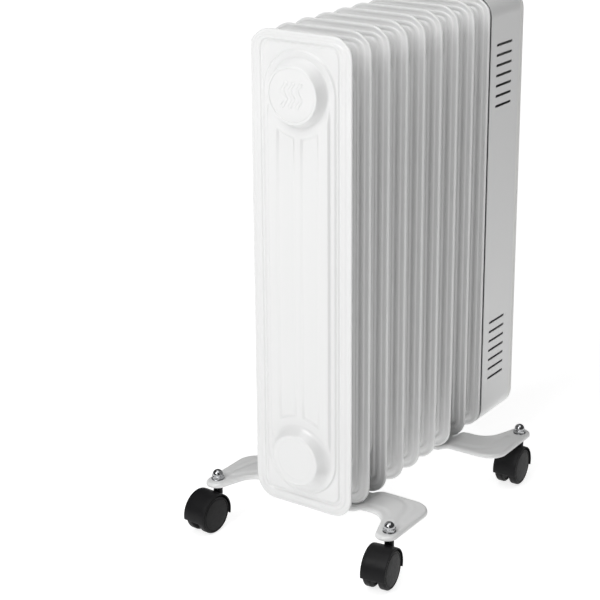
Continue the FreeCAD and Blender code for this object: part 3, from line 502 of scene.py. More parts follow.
HALF_W, HEIGHT, CORNER = 62.5, 530.0, 25.0
LOW, HIGH = 63.0, 467.5
FACE = 17.8
WARP_T = np.array([0.0, 2.6, 7.4, 13.0, 30.0])
WARP_S = np.array([0.0, 2.6, 7.5, 16.0, 30.0])
EDGE_STEPS = [(1.6, 1.6), (2.6, 1.6), (4.4, 0.95), (6.4, 0.95), (8.4, 1.75), (11.2, 1.75), (13.3, 0.3), (14.7, 0.3), (17.0, 2.1)]


def ease(t):
    t = np.clip(t, 0.0, 1.0)
    return t * t * (3 - 2 * t)


def unwarp(z):
    t = HEIGHT - np.asarray(z, float)
    return np.where(t < 30, HEIGHT - np.interp(t, WARP_S, WARP_T), z)


def inset_of(y, z):
    """Distance in from the outline. The steps below the top edge are closer together than those along the sides."""
    t = HEIGHT - z
    zz = np.where(t < 30, HEIGHT - np.interp(t, WARP_T, WARP_S), z)
    qy, qz = np.abs(y) - (HALF_W - CORNER), np.abs(zz - HEIGHT / 2) - (HEIGHT / 2 - CORNER)
    return CORNER - np.hypot(np.maximum(qy, 0), np.maximum(qz, 0)) - np.minimum(np.maximum(qy, qz), 0)


def smooth_max(a, b, k):
    return np.maximum(a, b) + np.maximum(k - np.abs(a - b), 0) ** 2 / (4 * k)


BOSS_TOP = np.array(soft_profile([(0, FACE, 0), (30.7, FACE, 1.5), (37.9, -3.0, 0)], 5))
BOSS_LOW = np.array(soft_profile([(0, FACE, 0), (28.6, FACE, 2.6), (40.8, -2.6, 0)], 5))


def fin_depth(y, z, mark):
    s = inset_of(y, z)
    d = np.full(np.shape(y), 0.0)
    e = np.clip(s, 0, 1.6)
    d = 1.6 * np.sqrt(np.maximum(1 - (1 - e / 1.6) ** 2, 0))
    for (s0, v0), (s1, v1) in zip(EDGE_STEPS, EDGE_STEPS[1:]):
        d = d + (v1 - v0) * ease((s - s0) / (s1 - s0))
    d = d + 0.8 * ease((s - 17.0) / 7.0) * ease((HIGH + 8 - z) / 30) * ease((z - LOW + 8) / 30)
    seg = np.hypot(y, z - np.clip(z, LOW, HIGH))
    d = d + 2.0 * ease((45.4 - seg) / 2.6)
    mid = ease((HIGH - 4 - z) / 28) * ease((z - LOW - 4) / 28)
    d = d + 3.1 * mid * ease((39.6 - np.abs(y)) / 3.1)
    d = d + 3.1 * ease((37.5 - np.abs(y)) / 3.0) * (1 - mid) * 0.0
    rl, rh = np.hypot(y, z - LOW), np.hypot(y, z - HIGH)
    k = 1.1
    terms = np.stack([4.6 - np.abs(y), np.abs(y) - 25.1, 47 - rl, 47 - rh, z - (HIGH - 20), LOW + 20 - z])
    top = terms.max(0)
    f = top + k * np.log(np.exp((terms - top) / k).sum(0))
    rec = 0.55 + 1.2 * ease((z - 345) / 75) + 0.8 * ease((150 - z) / 35)
    d = d - rec * (1 - ease((f + 1.8) / 3.6))
    for r, prof, kk in ((rh, BOSS_TOP, 5.0), (rl, BOSS_LOW, 7.0)):
        b = np.interp(r, prof[:, 0], prof[:, 1], right=-30.0)
        d = np.where(r < 50, smooth_max(d, b, kk) if kk else d, d)
    if mark:
        d = d - 0.7 * ease((28.3 - rh) / 0.9) - 0.7 * ease((25.0 - rl) / 4.0)
        zz = z - HIGH
        for y0 in (-9.0, 0.0, 9.0):
            line = np.abs(y - y0 - 2.2 * np.sin(zz * (2 * math.pi / 17.0)))
            stroke = np.hypot(line * 0.84, np.maximum(np.abs(zz) - 12.0, 0))
            d = d + 0.75 * ease((2.1 - stroke) / 0.9)
    return d


def grid(y0, y1, z0, z1, step, keep_if):
    ys, zs = np.meshgrid(np.arange(y0, y1, step), np.arange(z0, z1, step * 0.866))
    ys = ys + (np.arange(ys.shape[0]) % 2)[:, None] * step * 0.5
    p = np.stack([ys.ravel(), zs.ravel()], 1)
    return p[keep_if(p[:, 0], p[:, 1])]


def fin_net(mark_front):
    """Both pressed sheets of one fin about x = 0, with their rolled edge. Returns the net and its normals."""
    def rounded(s):
        hy, hz, r = HALF_W - s, HEIGHT / 2 - s, max(CORNER - s, 5.0)
        corners = [(hy, HEIGHT / 2 - hz, r), (hy, HEIGHT / 2 + hz, r), (-hy, HEIGHT / 2 + hz, r), (-hy, HEIGHT / 2 - hz, r)]
        p, _ = ring(corners, 9, plan=[20, 4, 20, 4])
        p[:, 1] = unwarp(p[:, 1])
        return p
    edge_s = [0.12, 0.47, 0.99, 1.6, 2.6, 3.2, 3.8, 4.4, 6.4, 7.0, 7.7, 8.4, 11.2, 11.9, 12.6, 13.3, 14.7, 15.3, 16.1, 17.0, 18.5, 20.5, 22.5, 24.0]
    lines = [(rounded(s), True) for s in edge_s]

    def stadium(w, n=26):
        t = arc_points((0, HIGH), w, 0, math.pi, n)
        b = arc_points((0, LOW), w, math.pi, 2 * math.pi, n)
        m = 18
        left = np.stack([np.full(m - 1, -w), np.linspace(HIGH, LOW, m + 1)[1:-1]], 1)
        right = np.stack([np.full(m - 1, w), np.linspace(LOW, HIGH, m + 1)[1:-1]], 1)
        return np.concatenate([t, left, b, right])
    lines += [(stadium(w), True) for w in (45.4, 44.7, 44.1, 43.5, 42.8)]
    zs = np.concatenate([np.arange(LOW + 2, LOW + 36, 4.0), np.linspace(LOW + 40, HIGH - 40, 14), np.arange(HIGH - 34, HIGH, 4.0)])
    for w in (39.6, 38.8, 38.0, 37.3, 36.5):
        for sy in (1, -1):
            lines.append((np.stack([np.full(len(zs), w * sy), zs], 1), False))
    for f in (1.8, 1.0, 0.3, -0.4, -1.1, -1.8):
        a, b, rho = 4.6 - f, 25.1 + f, 47 - f
        for sy in (1, -1):
            ys = np.linspace(a, b, 9)
            bottom = np.stack([ys, LOW + np.sqrt(rho ** 2 - ys ** 2)], 1)
            topl = np.stack([ys[::-1], HIGH - np.sqrt(rho ** 2 - ys[::-1] ** 2)], 1)
            m = 14
            outer = np.stack([np.full(m - 1, b), np.linspace(bottom[-1][1], topl[0][1], m + 1)[1:-1]], 1)
            inner = np.stack([np.full(m - 1, a), np.linspace(topl[-1][1], bottom[0][1], m + 1)[1:-1]], 1)
            loop = np.concatenate([bottom, outer, topl, inner])
            lines.append((loop * np.array([sy, 1.0]), True))
    def circle(cz, r, n=64):
        return arc_points((0, cz), r, 0, 2 * math.pi, n)[:-1]
    for cz, prof in ((HIGH, BOSS_TOP), (LOW, BOSS_LOW)):
        radii = [r for r, _ in prof if 20 < r < 34] + [32.6, 33.4, 34.1, 34.7, 35.3, 35.9, 36.6, 37.4, 38.4, 39.6, 41.0]
        radii = sorted(set(round(float(r), 3) for r in radii))
        picked = [radii[0]]
        for r in radii[1:]:
            if r - picked[-1] > 0.12:
                picked.append(r)
        lines += [(circle(cz, r), True) for r in picked]
    extra = [grid(-46, 46, cz - 62, cz + 62, 3.2, lambda y, z, c=cz: (np.hypot(y, z - c) > 36.8) & (np.hypot(y, z - c) < 58) & (inset_of(y, z) > 17.6))
             for cz in (LOW, HIGH)]
    for cz, sgn in ((LOW, 1), (HIGH, -1)):
        for yy in (4.6, 25.1):
            for sy in (1, -1):
                zc = cz + sgn * math.sqrt(47 ** 2 - yy ** 2)
                extra.append(grid(yy * sy - 4.5, yy * sy + 4.5, zc - 5, zc + 5, 1.3, lambda y, z: y == y))
    extra = np.concatenate(extra)
    net = Net()
    outline = rounded(0.0)
    edge_ids = net.add(np.column_stack([np.zeros(len(outline)), outline]))
    plans = []
    for side in (-1, 1):
        mark = mark_front and side < 0
        own, own_extra = list(lines), extra
        if mark:
            own += [(circle(HIGH, r), True) for r in (27.4, 27.7, 28.0, 28.3)] + [(circle(LOW, r), True) for r in (21.0, 22.4, 23.7, 25.0)]
            own_extra = np.concatenate([extra, grid(-15, 15, HIGH - 16, HIGH + 16, 0.85, lambda y, z: np.hypot(y, z - HIGH) < 20)])
        lift = lambda p, s=side, k=mark: np.column_stack([s * fin_depth(p[:, 0], p[:, 1], k), p])
        before = len(net.v)
        net.fill([edge_ids], [outline], own_extra, own, lift, flip=side < 0)
        plans.append((before, len(net.v), side, mark))
    v = np.array(net.v)
    nrm = np.zeros_like(v)
    h = 0.12
    for a, b, side, mark in plans:
        y, z = v[a:b, 1], v[a:b, 2]
        gy = (fin_depth(y + h, z, mark) - fin_depth(y - h, z, mark)) / (2 * h)
        gz = (fin_depth(y, z + h, mark) - fin_depth(y, z - h, mark)) / (2 * h)
        s = inset_of(y, z)
        nrm[a:b] = np.stack([np.full(b - a, float(side)), -gy, -gz], 1)
    n_edge = len(edge_ids)
    y, z = v[:n_edge, 1], v[:n_edge, 2]
    gy = (inset_of(y + h, z) - inset_of(y - h, z)) / (2 * h)
    gz = (inset_of(y, z + h) - inset_of(y, z - h)) / (2 * h)
    nrm[:n_edge] = np.stack([np.zeros(n_edge), -gy, -gz], 1)
    nrm /= np.linalg.norm(nrm, axis=1)[:, None]
    return net, nrm


fin_mesh = None
for i in range(1, 10):
    place = Matrix.Translation(((X0 + PITCH * (i - 1)) / 1000, 0, Z0 / 1000))
    if i == 1:
        net, nrm = fin_net(True)
        build("end_fin_pressing", net, ["fin_1"], normals=nrm, place=place)
    elif fin_mesh is None:
        net, nrm = fin_net(False)
        fin_mesh = build("fin_pressing_2", net, ["fin_2"], normals=nrm, place=place).data
    else:
        build("fin_pressing_%d" % i, None, ["fin_%d" % i], mesh=fin_mesh, place=place)

# ------------------------------------------------------------------ feet

NECK = [(25.3, 87.4, 24.0), (-21.5, 104.1, 11.5), (-21.5, 125.7, 12.0), (71.5, 125.7, 23.0)]
PLAN = [(x, -y, r) for x, y, r in NECK] + [(x, y, r) for x, y, r in reversed(NECK)]
RISE_Y = np.array([44, 47, 50, 54, 57, 60.0])
RISE_K = np.array([0, 0.1, 0.35, 0.75, 0.95, 1.0])
EMBOSS = np.array([(52, 48), (60, 56), (61.5, 76), (59.5, 90), (52.5, 99), (41, 103.5), (27, 106.5), (16, 109), (9, 107.5),
                   (14, 101.5), (23, 96), (31, 89.5), (34, 80), (34, 60), (34, 48)], float)
RIDGE = np.array([(66, 88), (63, 100), (54, 109), (40, 113), (24, 114.5), (13, 116)], float)


def line_distance(x, y, pts, closed=False):
    best = np.full(np.shape(x), 1e9)
    n = len(pts)
    for i in range(n if closed else n - 1):
        a, b = pts[i], pts[(i + 1) % n]
        d = b - a
        t = np.clip(((x - a[0]) * d[0] + (y - a[1]) * d[1]) / (d @ d), 0, 1)
        best = np.minimum(best, np.hypot(x - a[0] - t * d[0], y - a[1] - t * d[1]))
    return best


def smooth_loop(pts, times, closed):
    for _ in range(times):
        nxt = np.roll(pts, -1, 0)
        out = np.stack([pts * 0.75 + nxt * 0.25, pts * 0.25 + nxt * 0.75], 1).reshape(-1, 2)
        if not closed:
            out = np.concatenate([pts[:1], out[:-2], pts[-1:]])
        pts = out
    return pts


EMBOSS = smooth_loop(EMBOSS, 2, True)
RIDGE = smooth_loop(RIDGE, 2, False)


def foot_top(x, y):
    ay = np.abs(y)
    k = np.interp(ay, RISE_Y, RISE_K)
    kk = (np.interp(ay - 2.5, RISE_Y, RISE_K) + np.interp(ay + 2.5, RISE_Y, RISE_K) + 2 * k) / 4
    base = 6.0 * np.where((ay > 42) & (ay < 62), kk, k)
    hit = inside(np.column_stack([np.ravel(x), np.ravel(ay)]), EMBOSS).reshape(np.shape(x))
    dist = line_distance(x, ay, EMBOSS, True) * np.where(hit, 1, -1)
    up = 1.2 * ease((dist + 1.8) / 3.6)
    up = up + 0.5 * ease((2.6 - line_distance(x, ay, RIDGE)) / 2.6)
    return base + up * ease((ay - 59) / 8.0)


def foot_net():
    net = Net()
    _, plan = ring(PLAN, 9, 7.0)
    outside = [(0.5, -5.0), (0.15, -4.85), (0.0, -4.5)]
    r = 3.6
    outside += [(r * (1 - math.cos(a)), -r * (1 - math.sin(a))) for a in np.linspace(0, math.pi / 2, 8)]
    inner = [(1.0, -5.0), (1.4, -4.85), (1.5, -4.5)]
    r2 = 2.1
    inner += [(1.5 + r2 * (1 - math.cos(a)), -1.5 - r2 * (1 - math.sin(a))) for a in np.linspace(0, math.pi / 2, 6)]
    rows, flats = {}, {}
    for key, steps in (("out", outside), ("in", inner)):
        rows[key], flats[key] = [], []
        for e, dz in steps:
            p, _ = ring(inset_corners(PLAN, e) if e > 0 else PLAN, 9, 7.0, plan)
            z = foot_top(p[:, 0], p[:, 1]) + dz
            rows[key].append(net.add(np.column_stack([p, z])))
            flats[key].append(p)
    for a, b in zip(rows["out"], rows["out"][1:]):
        net.band(a, b)
    for a, b in zip(rows["in"], rows["in"][1:]):
        net.band(b, a)
    net.band(rows["in"][0], rows["out"][0])
    for key, dz, flip in (("out", 0.0, False), ("in", -1.5, True)):
        edge = flats[key][-1]
        extra = grid(-25, 75, -130, 130, 2.6 if key == "out" else 4.5,
                     lambda x, y, e=edge: inside(np.column_stack([x, y]), e) & (line_distance(x, y, e, True) > 1.3))
        net.fill([rows[key][-1]], [edge], extra, (), lambda p, d=dz: np.column_stack([p, foot_top(p[:, 0], p[:, 1]) + d]), flip)
    return net


foot = foot_net()
foot_mesh = build("front_foot_pressing", foot, ["front_foot_plate"], angle=50, place=Matrix.Translation((X0 / 1000, 0, Z0 / 1000))).data
turned = Matrix.Translation(((X0 + PITCH * 8) / 1000, 0, Z0 / 1000)) @ Matrix.Rotation(math.pi, 4, "Z")
build("rear_foot_pressing", None, ["rear_foot_plate"], mesh=foot_mesh, place=turned)

# ------------------------------------------------------------------ dome nuts and washers

CORNERS = ("front_left", "front_right", "rear_left", "rear_right")


def swivel(corner):
    p = JOINTS[corner + "_swivel"]["pos_m"]
    a = JOINTS[corner + "_inner_wheel_spin"]["axis"]
    return p[0] * 1000, p[1] * 1000, math.atan2(-a[0], a[1])


nuts, washers = Net(), Net()
nut_z = mm_box("dome_nuts")[0][2]
for corner in CORNERS:
    sx, sy, _ = swivel(corner)
    flat, hexh, segs = 6.5, 4.0, 96
    spin = math.radians(17 * (1 if sy > 0 else -1))
    th = np.linspace(0, 2 * math.pi, segs, False)
    hexr = flat / np.cos((th + math.pi / 6) % (math.pi / 3) - math.pi / 6)
    prof = [(0.0, 4.6), (0.0, 6.35), (0.2, 6.75), (0.55, 9.0), (hexh - 1.3, 9.0), (hexh - 0.75, 7.0), (hexh - 0.4, 6.5), (hexh - 0.2, 6.28), (hexh + 0.1, 6.2)]
    prof += [(hexh + 0.1 + 6.2 * math.sin(a), 6.2 * math.cos(a)) for a in np.linspace(0.07, math.pi / 2 - 0.05, 20)]
    prof += [(hexh + 6.3, 0.0)]
    rows = []
    for z, r in prof:
        if r < 1e-6:
            rows.append(nuts.add([(sx, sy, nut_z + z)]))
            continue
        rr = np.minimum(hexr, r) if r > 6.48 else np.full(segs, r)
        rows.append(nuts.add(np.column_stack([sx + rr * np.cos(th + spin), sy + rr * np.sin(th + spin), np.full(segs, nut_z + z)])))
    bottom = nuts.add([(sx, sy, nut_z)])
    nuts.fan(rows[0], bottom[0], True)
    for a, b in zip(rows, rows[1:-1]):
        nuts.band(a, b)
    nuts.fan(rows[-2], rows[-1][0])
    w = soft_profile([(0, 4.2, 0), (0, 7.5, 0.2), (0.9, 7.5, 0.3), (0.9, 4.2, 0)], 3)
    washers.lathe([(nut_z - 0.9 + t, r) for t, r in w], 72, "z", (sx, sy, 0), closed=True)
build("dome_nut_set", nuts, ["dome_nuts"], angle=24)
build("nut_washer_set", washers, ["nut_washers"], angle=30)

# ------------------------------------------------------------------ casters

TRAIL, WR = 18.9, 22.0


def hood_net(outer):
    """Local frame: origin on the floor under the swivel axis, wheels trailing towards -x."""
    net = Net()
    c = np.array([-TRAIL, WR])
    # the shell over both wheels, with a rolled lip at each side
    sec = [(-14.4, 22.85, 0.35), (0.0, 22.8, 0), (14.4, 22.85, 0.35), (14.4, 24.15, 0.75), (9.5, 24.4, 3.0), (0, 24.4, 0), (-9.5, 24.4, 3.0),
           (-14.4, 24.15, 0.75)]
    pts, _ = ring(sec, 5)
    mid_r = 23.6
    angles = np.radians(np.linspace(-16, 190, 72))
    rows = []
    end_cap = [(0.0, 0.35), (0.12, 0.7), (0.4, 0.92), (0.8, 1.0)]
    seq = [(angles[0] + t / 23.6, k) for t, k in end_cap] + [(a, 1.0) for a in angles[2:-2]] + [(angles[-1] - t / 23.6, k) for t, k in reversed(end_cap)]
    for a, k in seq:
        y = pts[:, 0] * (1 - (1 - k) * 0.04)
        r = mid_r + (pts[:, 1] - mid_r) * k
        rows.append(net.add(np.column_stack([c[0] + r * math.cos(a), y, c[1] + r * math.sin(a)])))
    for a, b in zip(rows, rows[1:]):
        net.band(a, b)
    net.fill([rows[0]], [pts], flip=True)
    net.fill([rows[-1]], [pts])
    # centre web
    w = 23.0
    web = [(-w * 0.93, 0, 1.5), (-8, -9, 4), (8, -9, 4), (w * 0.95, 0, 1.5), (w * 0.72, w * 0.68, 4), (0, w, 10), (-w * 0.72, w * 0.68, 4)]
    net.slab(web, -2.5, 2.5, 0.5, 0.5, 5, 3, twist=lambda p: np.column_stack([c[0] + p[:, 0], -p[:, 2], c[1] + p[:, 1]]))
    # collar over the stem, with a soft root where it leaves the hood
    net.lathe(soft_profile([(37.7, 3.2, 0), (37.7, 5.25, 0), (52.6, 5.25, 0.5), (52.6, 3.2, 0)], 4), 56, "z", closed=True)
    net.lathe(soft_profile([(20.0, 3.15, 0), (20.0, 4.2, 0.6), (38.4, 4.2, 0), (38.4, 3.15, 0)], 4), 48, "z", closed=True)
    return net


def wheel_net():
    """Local frame: the inner side at y = 0, the outer face towards +y, centre on the origin."""
    net = Net()
    prof = soft_profile([(0.0, 2.6, 0), (0.0, 5.2, 0.4), (1.2, 6.0, 0.5), (1.2, 18.6, 0.6), (0.0, 19.4, 0.5), (0.0, 20.8, 0.9), (0.9, WR, 1.2), (7.4, WR, 1.6),
                         (9.0, 20.2, 0.9), (9.0, 19.4, 0.25), (8.35, 19.0, 0.25), (8.35, 18.3, 0.25), (8.95, 17.8, 0.5), (9.28, 9.0, 0), (9.3, 0.0, 0)], 4)
    net.lathe(prof, 96, "y")
    inner = [(0.0, 2.6), (7.75, 2.6), (7.8, 0.0)]
    net.lathe(inner[::-1], 96, "y")
    return net


wheel_mesh, hood_mesh = None, None
for corner in CORNERS:
    sx, sy, ang = swivel(corner)
    place = Matrix.Translation((sx / 1000, sy / 1000, 0)) @ Matrix.Rotation(ang, 4, "Z")
    if hood_mesh is None:
        hood_mesh = build(corner + "_hood_moulding", hood_net(1), [corner + "_caster_hood"], place=place, angle=34).data
    else:
        build(corner + "_hood_moulding", None, [corner + "_caster_hood"], mesh=hood_mesh, place=place)
    side = 1 if sy > 0 else -1
    for which, sgn in (("inner", -side), ("outer", side)):
        local = Matrix.Translation((-TRAIL / 1000, sgn * 4.5 / 1000, WR / 1000))
        if sgn < 0:
            local = local @ Matrix.Rotation(math.pi, 4, "Z")
        node = "%s_%s_wheel" % (corner, which)
        if wheel_mesh is None:
            wheel_mesh = build(node + "_moulding", wheel_net(), [node], place=place @ local, angle=34).data
        else:
            build(node + "_moulding", None, [node], mesh=wheel_mesh, place=place @ local)

# ------------------------------------------------------------------ control end

flo, fhi = mm_box("control_fascia")
FX0, FX = flo[0], fhi[0]
KZ = Z0 + 486.0
RZ = Z0 + 420.0


def face_frame(x):
    """Sketch (y, z) with its normal towards +x."""
    return lambda p: np.column_stack([x + p[:, 2], p[:, 0], p[:, 1]])


OUT = [(HALF_W, 0, CORNER), (HALF_W, HEIGHT, CORNER), (-HALF_W, HEIGHT, CORNER), (-HALF_W, 0, CORNER)]
net = Net(from_xy((0, 0, Z0), (1, 0, 0), (0, 1, 0), (0, 0, 1)))
_, plan = ring(OUT, 10, 30.0)
R_EDGE, WALL = 4.5, 2.5


def loop_at(e, x):
    p, _ = ring(inset_corners(OUT, e) if e else OUT, 10, 30.0, plan)
    return net.add(np.column_stack([np.full(len(p), x), p])), p


outer = [loop_at(0.0, FX0), loop_at(0.0, FX0 + 4.0), loop_at(0.5, FX0 + 4.4), loop_at(0.5, FX0 + 5.2), loop_at(0.0, FX0 + 5.6)]
outer += [loop_at(R_EDGE * (1 - math.cos(a)), FX - R_EDGE * (1 - math.sin(a))) for a in np.linspace(0, math.pi / 2, 8)]
inner = [loop_at(WALL, FX0)] + [loop_at(WALL + 2.5 * (1 - math.cos(a)), FX - WALL - 2.5 * (1 - math.sin(a))) for a in np.linspace(0, math.pi / 2, 5)]
for a, b in zip(outer, outer[1:]):
    net.band(a[0], b[0])
for a, b in zip(inner, inner[1:]):
    net.band(b[0], a[0])
net.band(inner[0][0], outer[0][0])


def hole(points_of):
    """A hole through the face wall with a small eased rim."""
    rows = []
    for grow, x in ((0.5, FX), (0.15, FX - 0.15), (0.0, FX - 0.5), (0.0, FX - WALL)):
        p = points_of(grow)
        rows.append((net.add(np.column_stack([np.full(len(p), x), p])), p))
    for a, b in zip(rows, rows[1:]):
        net.band(a[0], b[0])
    return rows[0], rows[-1]


def circle_of(y, z, r, n=40):
    return lambda g: arc_points((y, z), r + g, 0, 2 * math.pi, n)[:-1]


def rect_of(y, z, hy, hz, r):
    return lambda g: ring([(y + hy + g, z - hz - g, r + g), (y + hy + g, z + hz + g, r + g), (y - hy - g, z + hz + g, r + g), (y - hy - g, z - hz - g, r + g)], 4)[0]


holes = [hole(circle_of(0, 486, 4.5)), hole(circle_of(0, 448, 4.0)), hole(circle_of(0, 86, 6.5)),
         hole(rect_of(15, 420, 8, 11, 1.0)), hole(rect_of(-15, 420, 8, 11, 1.0))]
# the outline of a field round the controls, which nothing uses
field = ring([(36, 392, 14), (36, 517.0, 14), (-36, 517.0, 14), (-36, 392, 14)], 8)[0]
net.fill([outer[-1][0]] + [h[0][0] for h in holes], [outer[-1][1]] + [h[0][1] for h in holes])
net.fill([inner[-1][0]] + [h[1][0] for h in holes], [inner[-1][1]] + [h[1][1] for h in holes], flip=True)
build("control_fascia_moulding", net, ["control_fascia"], angle=35)

# dial marks round the knob and a pointer on it
marks = Net()
for k in range(10):
    a = math.radians(90 - 270.0 * k / 9)
    r0, r1 = 23.0, 23.0 + (2.6 if k % 3 else 4.0)
    if k == 0:
        r1 = 27.0
    w = 0.45 if k % 3 else 0.7
    c, s = math.cos(a), math.sin(a)
    quad = [(r0, -w, 0.2), (r1, -w, 0.2), (r1, w, 0.2), (r0, w, 0.2)]
    m = from_xy((FX - 0.2, 0, KZ), (0, c, s), (0, -s, c), (1, 0, 0))
    sub = Net(m)
    sub.slab(quad, 0.0, 0.45, 0.0, 0.12, 2, 2)
    base = len(marks.v)
    marks.v.extend(sub.v)
    marks.f.extend([tuple(i + base for i in f) for f in sub.f])
build("dial_marks", marks, [], material=MARK, body="radiator", angle=35)

klo, khi = mm_box("thermostat_knob")
knob = Net(from_xy((klo[0], 0, KZ), (1, 0, 0), (0, 1, 0), (0, 0, 1)))
knob.lathe(soft_profile([(0.0, 0.0, 0), (0.0, 20.6, 0.3), (1.2, 21.0, 0.5), (4.6, 20.4, 1.3), (6.3, 17.6, 1.2), (5.6, 9.0, 0), (5.6, 0.0, 0)], 5), 120, "x")
bar = [(5.4, -16.8, 5.2), (5.4, 16.8, 5.2), (-5.4, 16.8, 5.2), (-5.4, -16.8, 5.2)]
knob.slab(bar, 5.0, khi[0] - klo[0], 0.0, 1.8, 8, 6, twist=lambda p: np.column_stack([p[:, 2], p[:, 0], p[:, 1]]))
for k in range(36):
    a = 2 * math.pi * k / 36
    if abs(math.sin(a)) > 0.995:
        continue
    c, s = math.cos(a), math.sin(a)
    knob.slab([(20.0, -0.45, 0.2), (20.95, -0.35, 0.2), (20.95, 0.35, 0.2), (20.0, 0.45, 0.2)], 1.2, 4.4, 0.2, 0.2, 2, 2,
              twist=lambda p, c=c, s=s: np.column_stack([p[:, 2], p[:, 0] * c - p[:, 1] * s, p[:, 0] * s + p[:, 1] * c]))
build("thermostat_knob_moulding", knob, ["thermostat_knob"], angle=35)
pointer = Net()
pointer.slab([(0.75, 6.0, 0.5), (0.75, 15.0, 0.7), (-0.75, 15.0, 0.7), (-0.75, 6.0, 0.5)], khi[0] - 0.35, khi[0] - 0.02, 0, 0.1, 3, 2,
             twist=lambda p: np.column_stack([p[:, 2], p[:, 0], KZ + p[:, 1]]))
build("knob_pointer", pointer, [], material=MARK, body=NODE_BODY["thermostat_knob"], angle=35)

# switches
for n, y in (("1", 15.0), ("2", -15.0)):
    body = Net()
    tw = face_frame(0)
    hy, hz = 9.5, 12.5
    rim = [(y + hy, RZ - hz, 1.6), (y + hy, RZ + hz, 1.6), (y - hy, RZ + hz, 1.6), (y - hy, RZ - hz, 1.6)]
    well = [(y + 6.8, RZ - 10.0, 0.5), (y + 6.8, RZ + 10.0, 0.5), (y - 6.8, RZ + 10.0, 0.5), (y - 6.8, RZ - 10.0, 0.5)]
    can = [(y + 8.0, RZ - 11.0, 0.6), (y + 8.0, RZ + 11.0, 0.6), (y - 8.0, RZ + 11.0, 0.6), (y - 8.0, RZ - 11.0, 0.6)]

    def at(corners, e, x, net=body):
        p, _ = ring(inset_corners(corners, e) if e else corners, 4)
        return net.add(np.column_stack([np.full(len(p), x), p])), p
    seq = [at(can, 0.4, FX - 18), at(can, 0, FX - 17.6), at(can, 0, FX), at(rim, 0, FX), at(rim, 0, FX + 0.5)]
    seq += [at(rim, 1.0 * (1 - math.cos(a)), FX + 1.5 - 1.0 * (1 - math.sin(a))) for a in np.linspace(0, math.pi / 2, 5)]
    for a, b in zip(seq, seq[1:]):
        body.band(a[0], b[0])
    top, lip = seq[-1], at(well, -0.4, FX + 1.5)
    down = [lip, at(well, 0, FX + 1.1), at(well, 0, FX - 10)]
    body.fill([top[0], lip[0]], [top[1], lip[1]])
    for a, b in zip(down, down[1:]):
        body.band(a[0], b[0])
    body.fill([down[-1][0]], [down[-1][1]])
    body.fill([seq[0][0]], [seq[0][1]], flip=True)
    build("switch_bezel_" + n, body, ["switch_body_" + n], angle=35)
    rocker = Net()
    h = 9.5
    prof = [(-5.0, -2.5, 0.5), (-2.6, -h + 0.6, 0.4), (2.6, -h + 0.4, 0.4), (4.2, -h + 0.7, 0.6), (3.0, 0, 16.0), (6.0, h - 1.4, 0.7), (4.6, h - 0.7, 0.5),
            (-1.0, h - 0.5, 0.4), (-5.0, 2.5, 0.5)]
    rocker.slab(prof, -6.5, 6.5, 0.45, 0.45, 6, 3, twist=lambda p, y=y: np.column_stack([FX - 1.0 + p[:, 0], y - p[:, 2], RZ + p[:, 1]]))
    build("power_rocker_moulding_" + n, rocker, ["power_rocker_" + n], angle=35)

lens = Net(from_xy((FX, 0, Z0 + 448), (1, 0, 0), (0, 1, 0), (0, 0, 1)))
lens.lathe(soft_profile([(-8.0, 0, 0), (-8.0, 4.0, 0.3), (0.0, 4.0, 0), (0.0, 5.5, 0.1), (0.8, 5.3, 0.5), (2.2, 3.0, 2.5), (2.8, 0, 0)], 6), 64, "x")
build("pilot_lens_dome", lens, ["pilot_lens"], angle=35)

# carry handle: a bowed bar with rounded section, its ends flush on the fascia
hlo, hhi = mm_box("carry_handle")
hz, reach = (hlo[2] + hhi[2]) / 2, hhi[0] - hlo[0]
handle = Net()
path = soft_profile([(0.0, -35.5, 0), (reach - 6.0, -35.5, 13.0), (reach - 6.0, 35.5, 13.0), (0.0, 35.5, 0)], 12)
path = np.array(path)
extra_pts = []
for a, b in zip(path, path[1:]):
    n_cut = max(1, int(np.linalg.norm(b - a) / 6))
    for k in range(n_cut):
        extra_pts.append(a + (b - a) * k / n_cut)
path = np.array(extra_pts + [path[-1]])
tang = np.gradient(path, axis=0)
tang /= np.linalg.norm(tang, axis=1)[:, None]
side_dir = np.stack([tang[:, 1], -tang[:, 0]], 1)
bend = np.abs(path[:, 1]) / 35.5
rows = []
for p, sd, b in zip(path, side_dir, bend):
    t = 6.5 * (1 - 0.08 * (1 - min(1, b)) * 1.0)
    u = 7.5 * (0.86 + 0.14 * min(1.0, b) ** 2)
    loop, _ = ring([(t, -u, 4.6), (t, u, 4.6), (-t, u, 4.6), (-t, -u, 4.6)], 5)
    xy = p[None, :] + loop[:, :1] * sd[None, :]
    rows.append(handle.add(np.column_stack([hlo[0] + np.clip(xy[:, 0], 0, reach - 0.02), xy[:, 1], hz + loop[:, 1]])))
for a, b in zip(rows, rows[1:]):
    handle.band(a, b)
flat_loop, _ = ring([(6.5, -7.5, 4.6), (6.5, 7.5, 4.6), (-6.5, 7.5, 4.6), (-6.5, -7.5, 4.6)], 5)
handle.fill([rows[0]], [flat_loop], flip=True)
handle.fill([rows[-1]], [flat_loop])
build("carry_handle_moulding", handle, ["carry_handle"], angle=40)

# cord hooks: a post and an upturned tip, one profile through the whole width
hooks = Net()
for zc, up in ((150, -1), (285, 1)):
    zc = Z0 + zc
    prof = [(0, -4, 0), (24, -4, 3.5), (24, 18, 1.8), (20, 18, 1.8), (20, 4, 3.0), (0, 4, 0)]
    if up < 0:
        prof = [(x, -z, r) for x, z, r in reversed(prof)]
    hooks.slab(prof, -14, 14, 1.1, 1.1, 6, 4, twist=lambda p, zc=zc: np.column_stack([FX + p[:, 0], -p[:, 2], zc + p[:, 1]]))
build("cord_hook_mouldings", hooks, ["cord_hooks"], angle=35)

